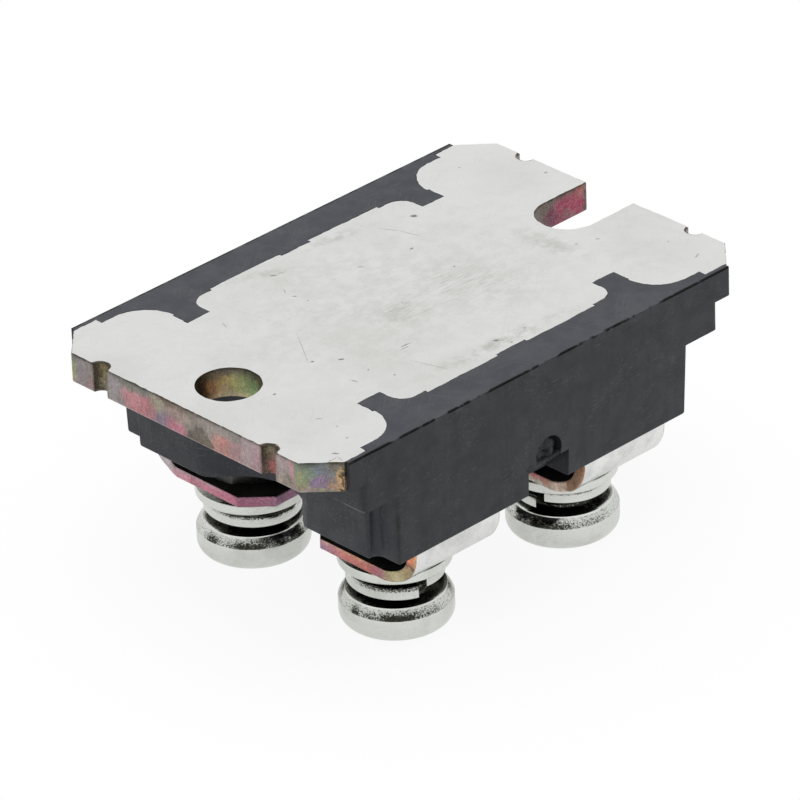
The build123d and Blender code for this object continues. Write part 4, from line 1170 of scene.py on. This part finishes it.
def split_washer(direction):
    """A rounded square section carried along a left-handed helix from one side of the slit round
    to the other, falling as it turns anticlockwise, with both ends cut square. Painted dark
    reflection lies on its rolled upper corner, and painted shade on its faces below and above."""
    wide, tall = (SPLIT_RADIUS - WASHER_BORE) / 2, SPLIT_THICKNESS / 2
    corner, rolled = 0.10, 0.30
    section = np.concatenate([
        turn((wide - rolled, tall - rolled), rolled, 0, 90, 9),
        turn((-wide + corner, tall - corner), corner, 90, 180, 5),
        turn((-wide + corner, -tall + corner), corner, 180, 270, 5),
        turn((wide - corner, -tall + corner), corner, 270, 360, 5),
    ])
    stations = 121
    share = np.linspace(0, 1, stations)[:, None]
    angle = np.radians(direction + SLIT / 2 + (360 - SLIT) * share)
    radius = (SPLIT_RADIUS + WASHER_BORE) / 2 + section[None, :, 0]
    rise = SPLIT_THICKNESS / 2 + SPLIT_RISE * (1 - share) + section[None, :, 1]
    points = np.stack((radius * np.cos(angle), radius * np.sin(angle), rise), axis=-1)
    count = len(section)
    ends = [np.arange(count)[None, ::-1], np.arange(count)[None, :] + (stations - 1) * count]
    low, out = section[:, 1] + tall, section[:, 0]
    # Painted dark reflection on the rolled upper corner, and painted shade on the bottom and top faces.
    painted_darkness = 0.72 * bell(low, 0.70, 0.12) * (out > wide - rolled) + 0.7 * (low < 0.06) + 0.8 * (low > 0.84)
    points = points.reshape(-1, 3)
    painted_darkness = np.tile(painted_darkness, stations) * sector(from_corner(points), COIL_REFLECTION)
    return points, [grid_faces(stations, count), *ends], painted_darkness


plain_points, plain_faces = plain_washer()
for number in SIDES:
    x, y = place_of(number)
    flat_z = SPLIT_Z[number] + SPLIT_RISE + SPLIT_THICKNESS + WASHER_GAP
    within = np.hypot(plain_points[:, 0], plain_points[:, 1]) < FLAT_RADIUS - 0.1
    # Painted shade on the washer's underside, over the split washer.
    under = 0.85 * (plain_points[:, 2] < 0.03) * within
    washer = make_piece(f"plain_washer_{number}", plain_points + (x, y, flat_z), plain_faces, [fastener],
                        smooth=40.0, grime=under)
    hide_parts(f"flat_washer_{number}")
    split_points, split_faces, painted_darkness = split_washer(SLIT_FACES[number])
    washer = make_piece(f"split_washer_{number}", split_points + (x, y, SPLIT_Z[number]), split_faces,
                        [fastener], smooth=40.0, grime=painted_darkness)
    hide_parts(f"spring_washer_{number}")

# ---------------------------------------------------------------------------
# Table, light and camera: a white table and room, one soft lamp overhead, and
# the camera where the photograph was taken from.
# ---------------------------------------------------------------------------
table, tree, shader, place = new_material("white_table", Roughness=0.9, **{"Specular IOR Level": 0.0})
shader.inputs["Base Color"].default_value = (0.80, 0.80, 0.80, 1)
output = next(node for node in tree.nodes if node.type == "OUTPUT_MATERIAL")
white = add(tree, "ShaderNodeEmission", {"Color": (1, 1, 1, 1), "Strength": 1.0})
rays = add(tree, "ShaderNodeLightPath")
out_from_middle = add(tree, "ShaderNodeVectorMath", {0: place}, operation="LENGTH").outputs["Value"]
# Seen straight, the table is almost the white of the room with the module's soft shadow left in;
# seen in metal, it keeps more of that shadow close to the module and turns white further out.
straight = math_node(tree, "MULTIPLY", rays.outputs["Is Camera Ray"],
                     stepped(tree, out_from_middle, 12.0, 32.0, 0.92, 1.0))
bounced = math_node(tree, "MAXIMUM", rays.outputs["Is Glossy Ray"], rays.outputs["Is Transmission Ray"])
mirrored = math_node(tree, "MULTIPLY", bounced, stepped(tree, out_from_middle, 10.0, 36.0, 0.72, 1.0))
share = math_node(tree, "MAXIMUM", straight, mirrored)
shown = add(tree, "ShaderNodeMixShader", {0: share, 1: shader.outputs[0], 2: white.outputs[0]})
clear = add(tree, "ShaderNodeBsdfTransparent")
under = add(tree, "ShaderNodeNewGeometry").outputs["Backfacing"]
both = add(tree, "ShaderNodeMixShader", {0: under, 1: shown.outputs[0], 2: clear.outputs[0]})
tree.links.new(both.outputs[0], output.inputs["Surface"])
TABLE_HALF = 3.0
TABLE_DROP = 0.02
table_mesh = bpy.data.meshes.new("table_top")
corners = np.array([(-1, -1), (1, -1), (1, 1), (-1, 1)]) * TABLE_HALF
table_mesh.from_pydata(np.column_stack((corners, np.full(4, -TABLE_DROP * MM))).tolist(), [], [(0, 1, 2, 3)])
table_mesh.materials.append(table)
table_top = bpy.data.objects.new("table_top", table_mesh)
bpy.context.scene.collection.objects.link(table_top)

world = bpy.data.worlds.new("white_room")
world.use_nodes = True
bpy.context.scene.world = world
tree = world.node_tree
tree.nodes.clear()
rays = add(tree, "ShaderNodeLightPath")
bounced = math_node(tree, "MAXIMUM", rays.outputs["Is Glossy Ray"], rays.outputs["Is Transmission Ray"])
seen = math_node(tree, "MAXIMUM", rays.outputs["Is Camera Ray"], bounced)
soft = add(tree, "ShaderNodeBackground", {"Color": (1, 1, 1, 1), "Strength": 0.55})
white = add(tree, "ShaderNodeBackground", {"Color": (1, 1, 1, 1), "Strength": 1.0})
sky = add(tree, "ShaderNodeMixShader", {0: seen, 1: soft.outputs[0], 2: white.outputs[0]})
add(tree, "ShaderNodeOutputWorld", {"Surface": sky.outputs[0]})

lamp_data = bpy.data.lights.new("soft_lamp", "AREA")
lamp_data.shape = "DISK"
lamp_data.size = 0.40
lamp_data.energy = 1.6
lamp = bpy.data.objects.new("soft_lamp", lamp_data)
lamp.location = (-0.10, -0.10, 0.60)
lamp.rotation_euler = (Vector((0, 0, 0)) - Vector(lamp.location)).to_track_quat("-Z", "Y").to_euler()
lamp.visible_glossy = False
lamp.visible_camera = False
bpy.context.scene.collection.objects.link(lamp)

# Camera fitted to the plate's corners, hole and terminals in the photograph.
azimuth, elevation, roll = (math.radians(v) for v in (-43.48365818, 29.61626227, -2.15469756))
distance, slide_x, slide_y = 456.87478988, -0.34690857, -6.52960559
focal_px = 7185.37352949
PHOTO_PX = 800
SENSOR = 36.0
back = Vector((math.sin(azimuth) * math.cos(elevation), -math.cos(azimuth) * math.cos(elevation),
               math.sin(elevation)))
right = (-back).cross(Vector((0, 0, 1))).normalized()
upward = right.cross(-back)
across_x = right * math.cos(roll) + upward * math.sin(roll)
across_y = -right * math.sin(roll) + upward * math.cos(roll)
camera_data = bpy.data.cameras.new("photo_camera")
camera_data.sensor_width = SENSOR
camera_data.lens = SENSOR * focal_px / PHOTO_PX
camera_data.clip_start = 0.01
camera_data.clip_end = 20.0
camera = bpy.data.objects.new("photo_camera", camera_data)
eye = (Vector((0, 0, PLATE_TOP)) + back * distance + right * slide_x + upward * slide_y) * MM
camera.matrix_world = Matrix((
    (across_x[0], across_y[0], back[0], eye[0]),
    (across_x[1], across_y[1], back[1], eye[1]),
    (across_x[2], across_y[2], back[2], eye[2]),
    (0, 0, 0, 1),
))
bpy.context.scene.collection.objects.link(camera)
bpy.context.scene.camera = camera
bpy.context.scene.view_settings.view_transform = "Standard"

bpy.context.view_layer.update()
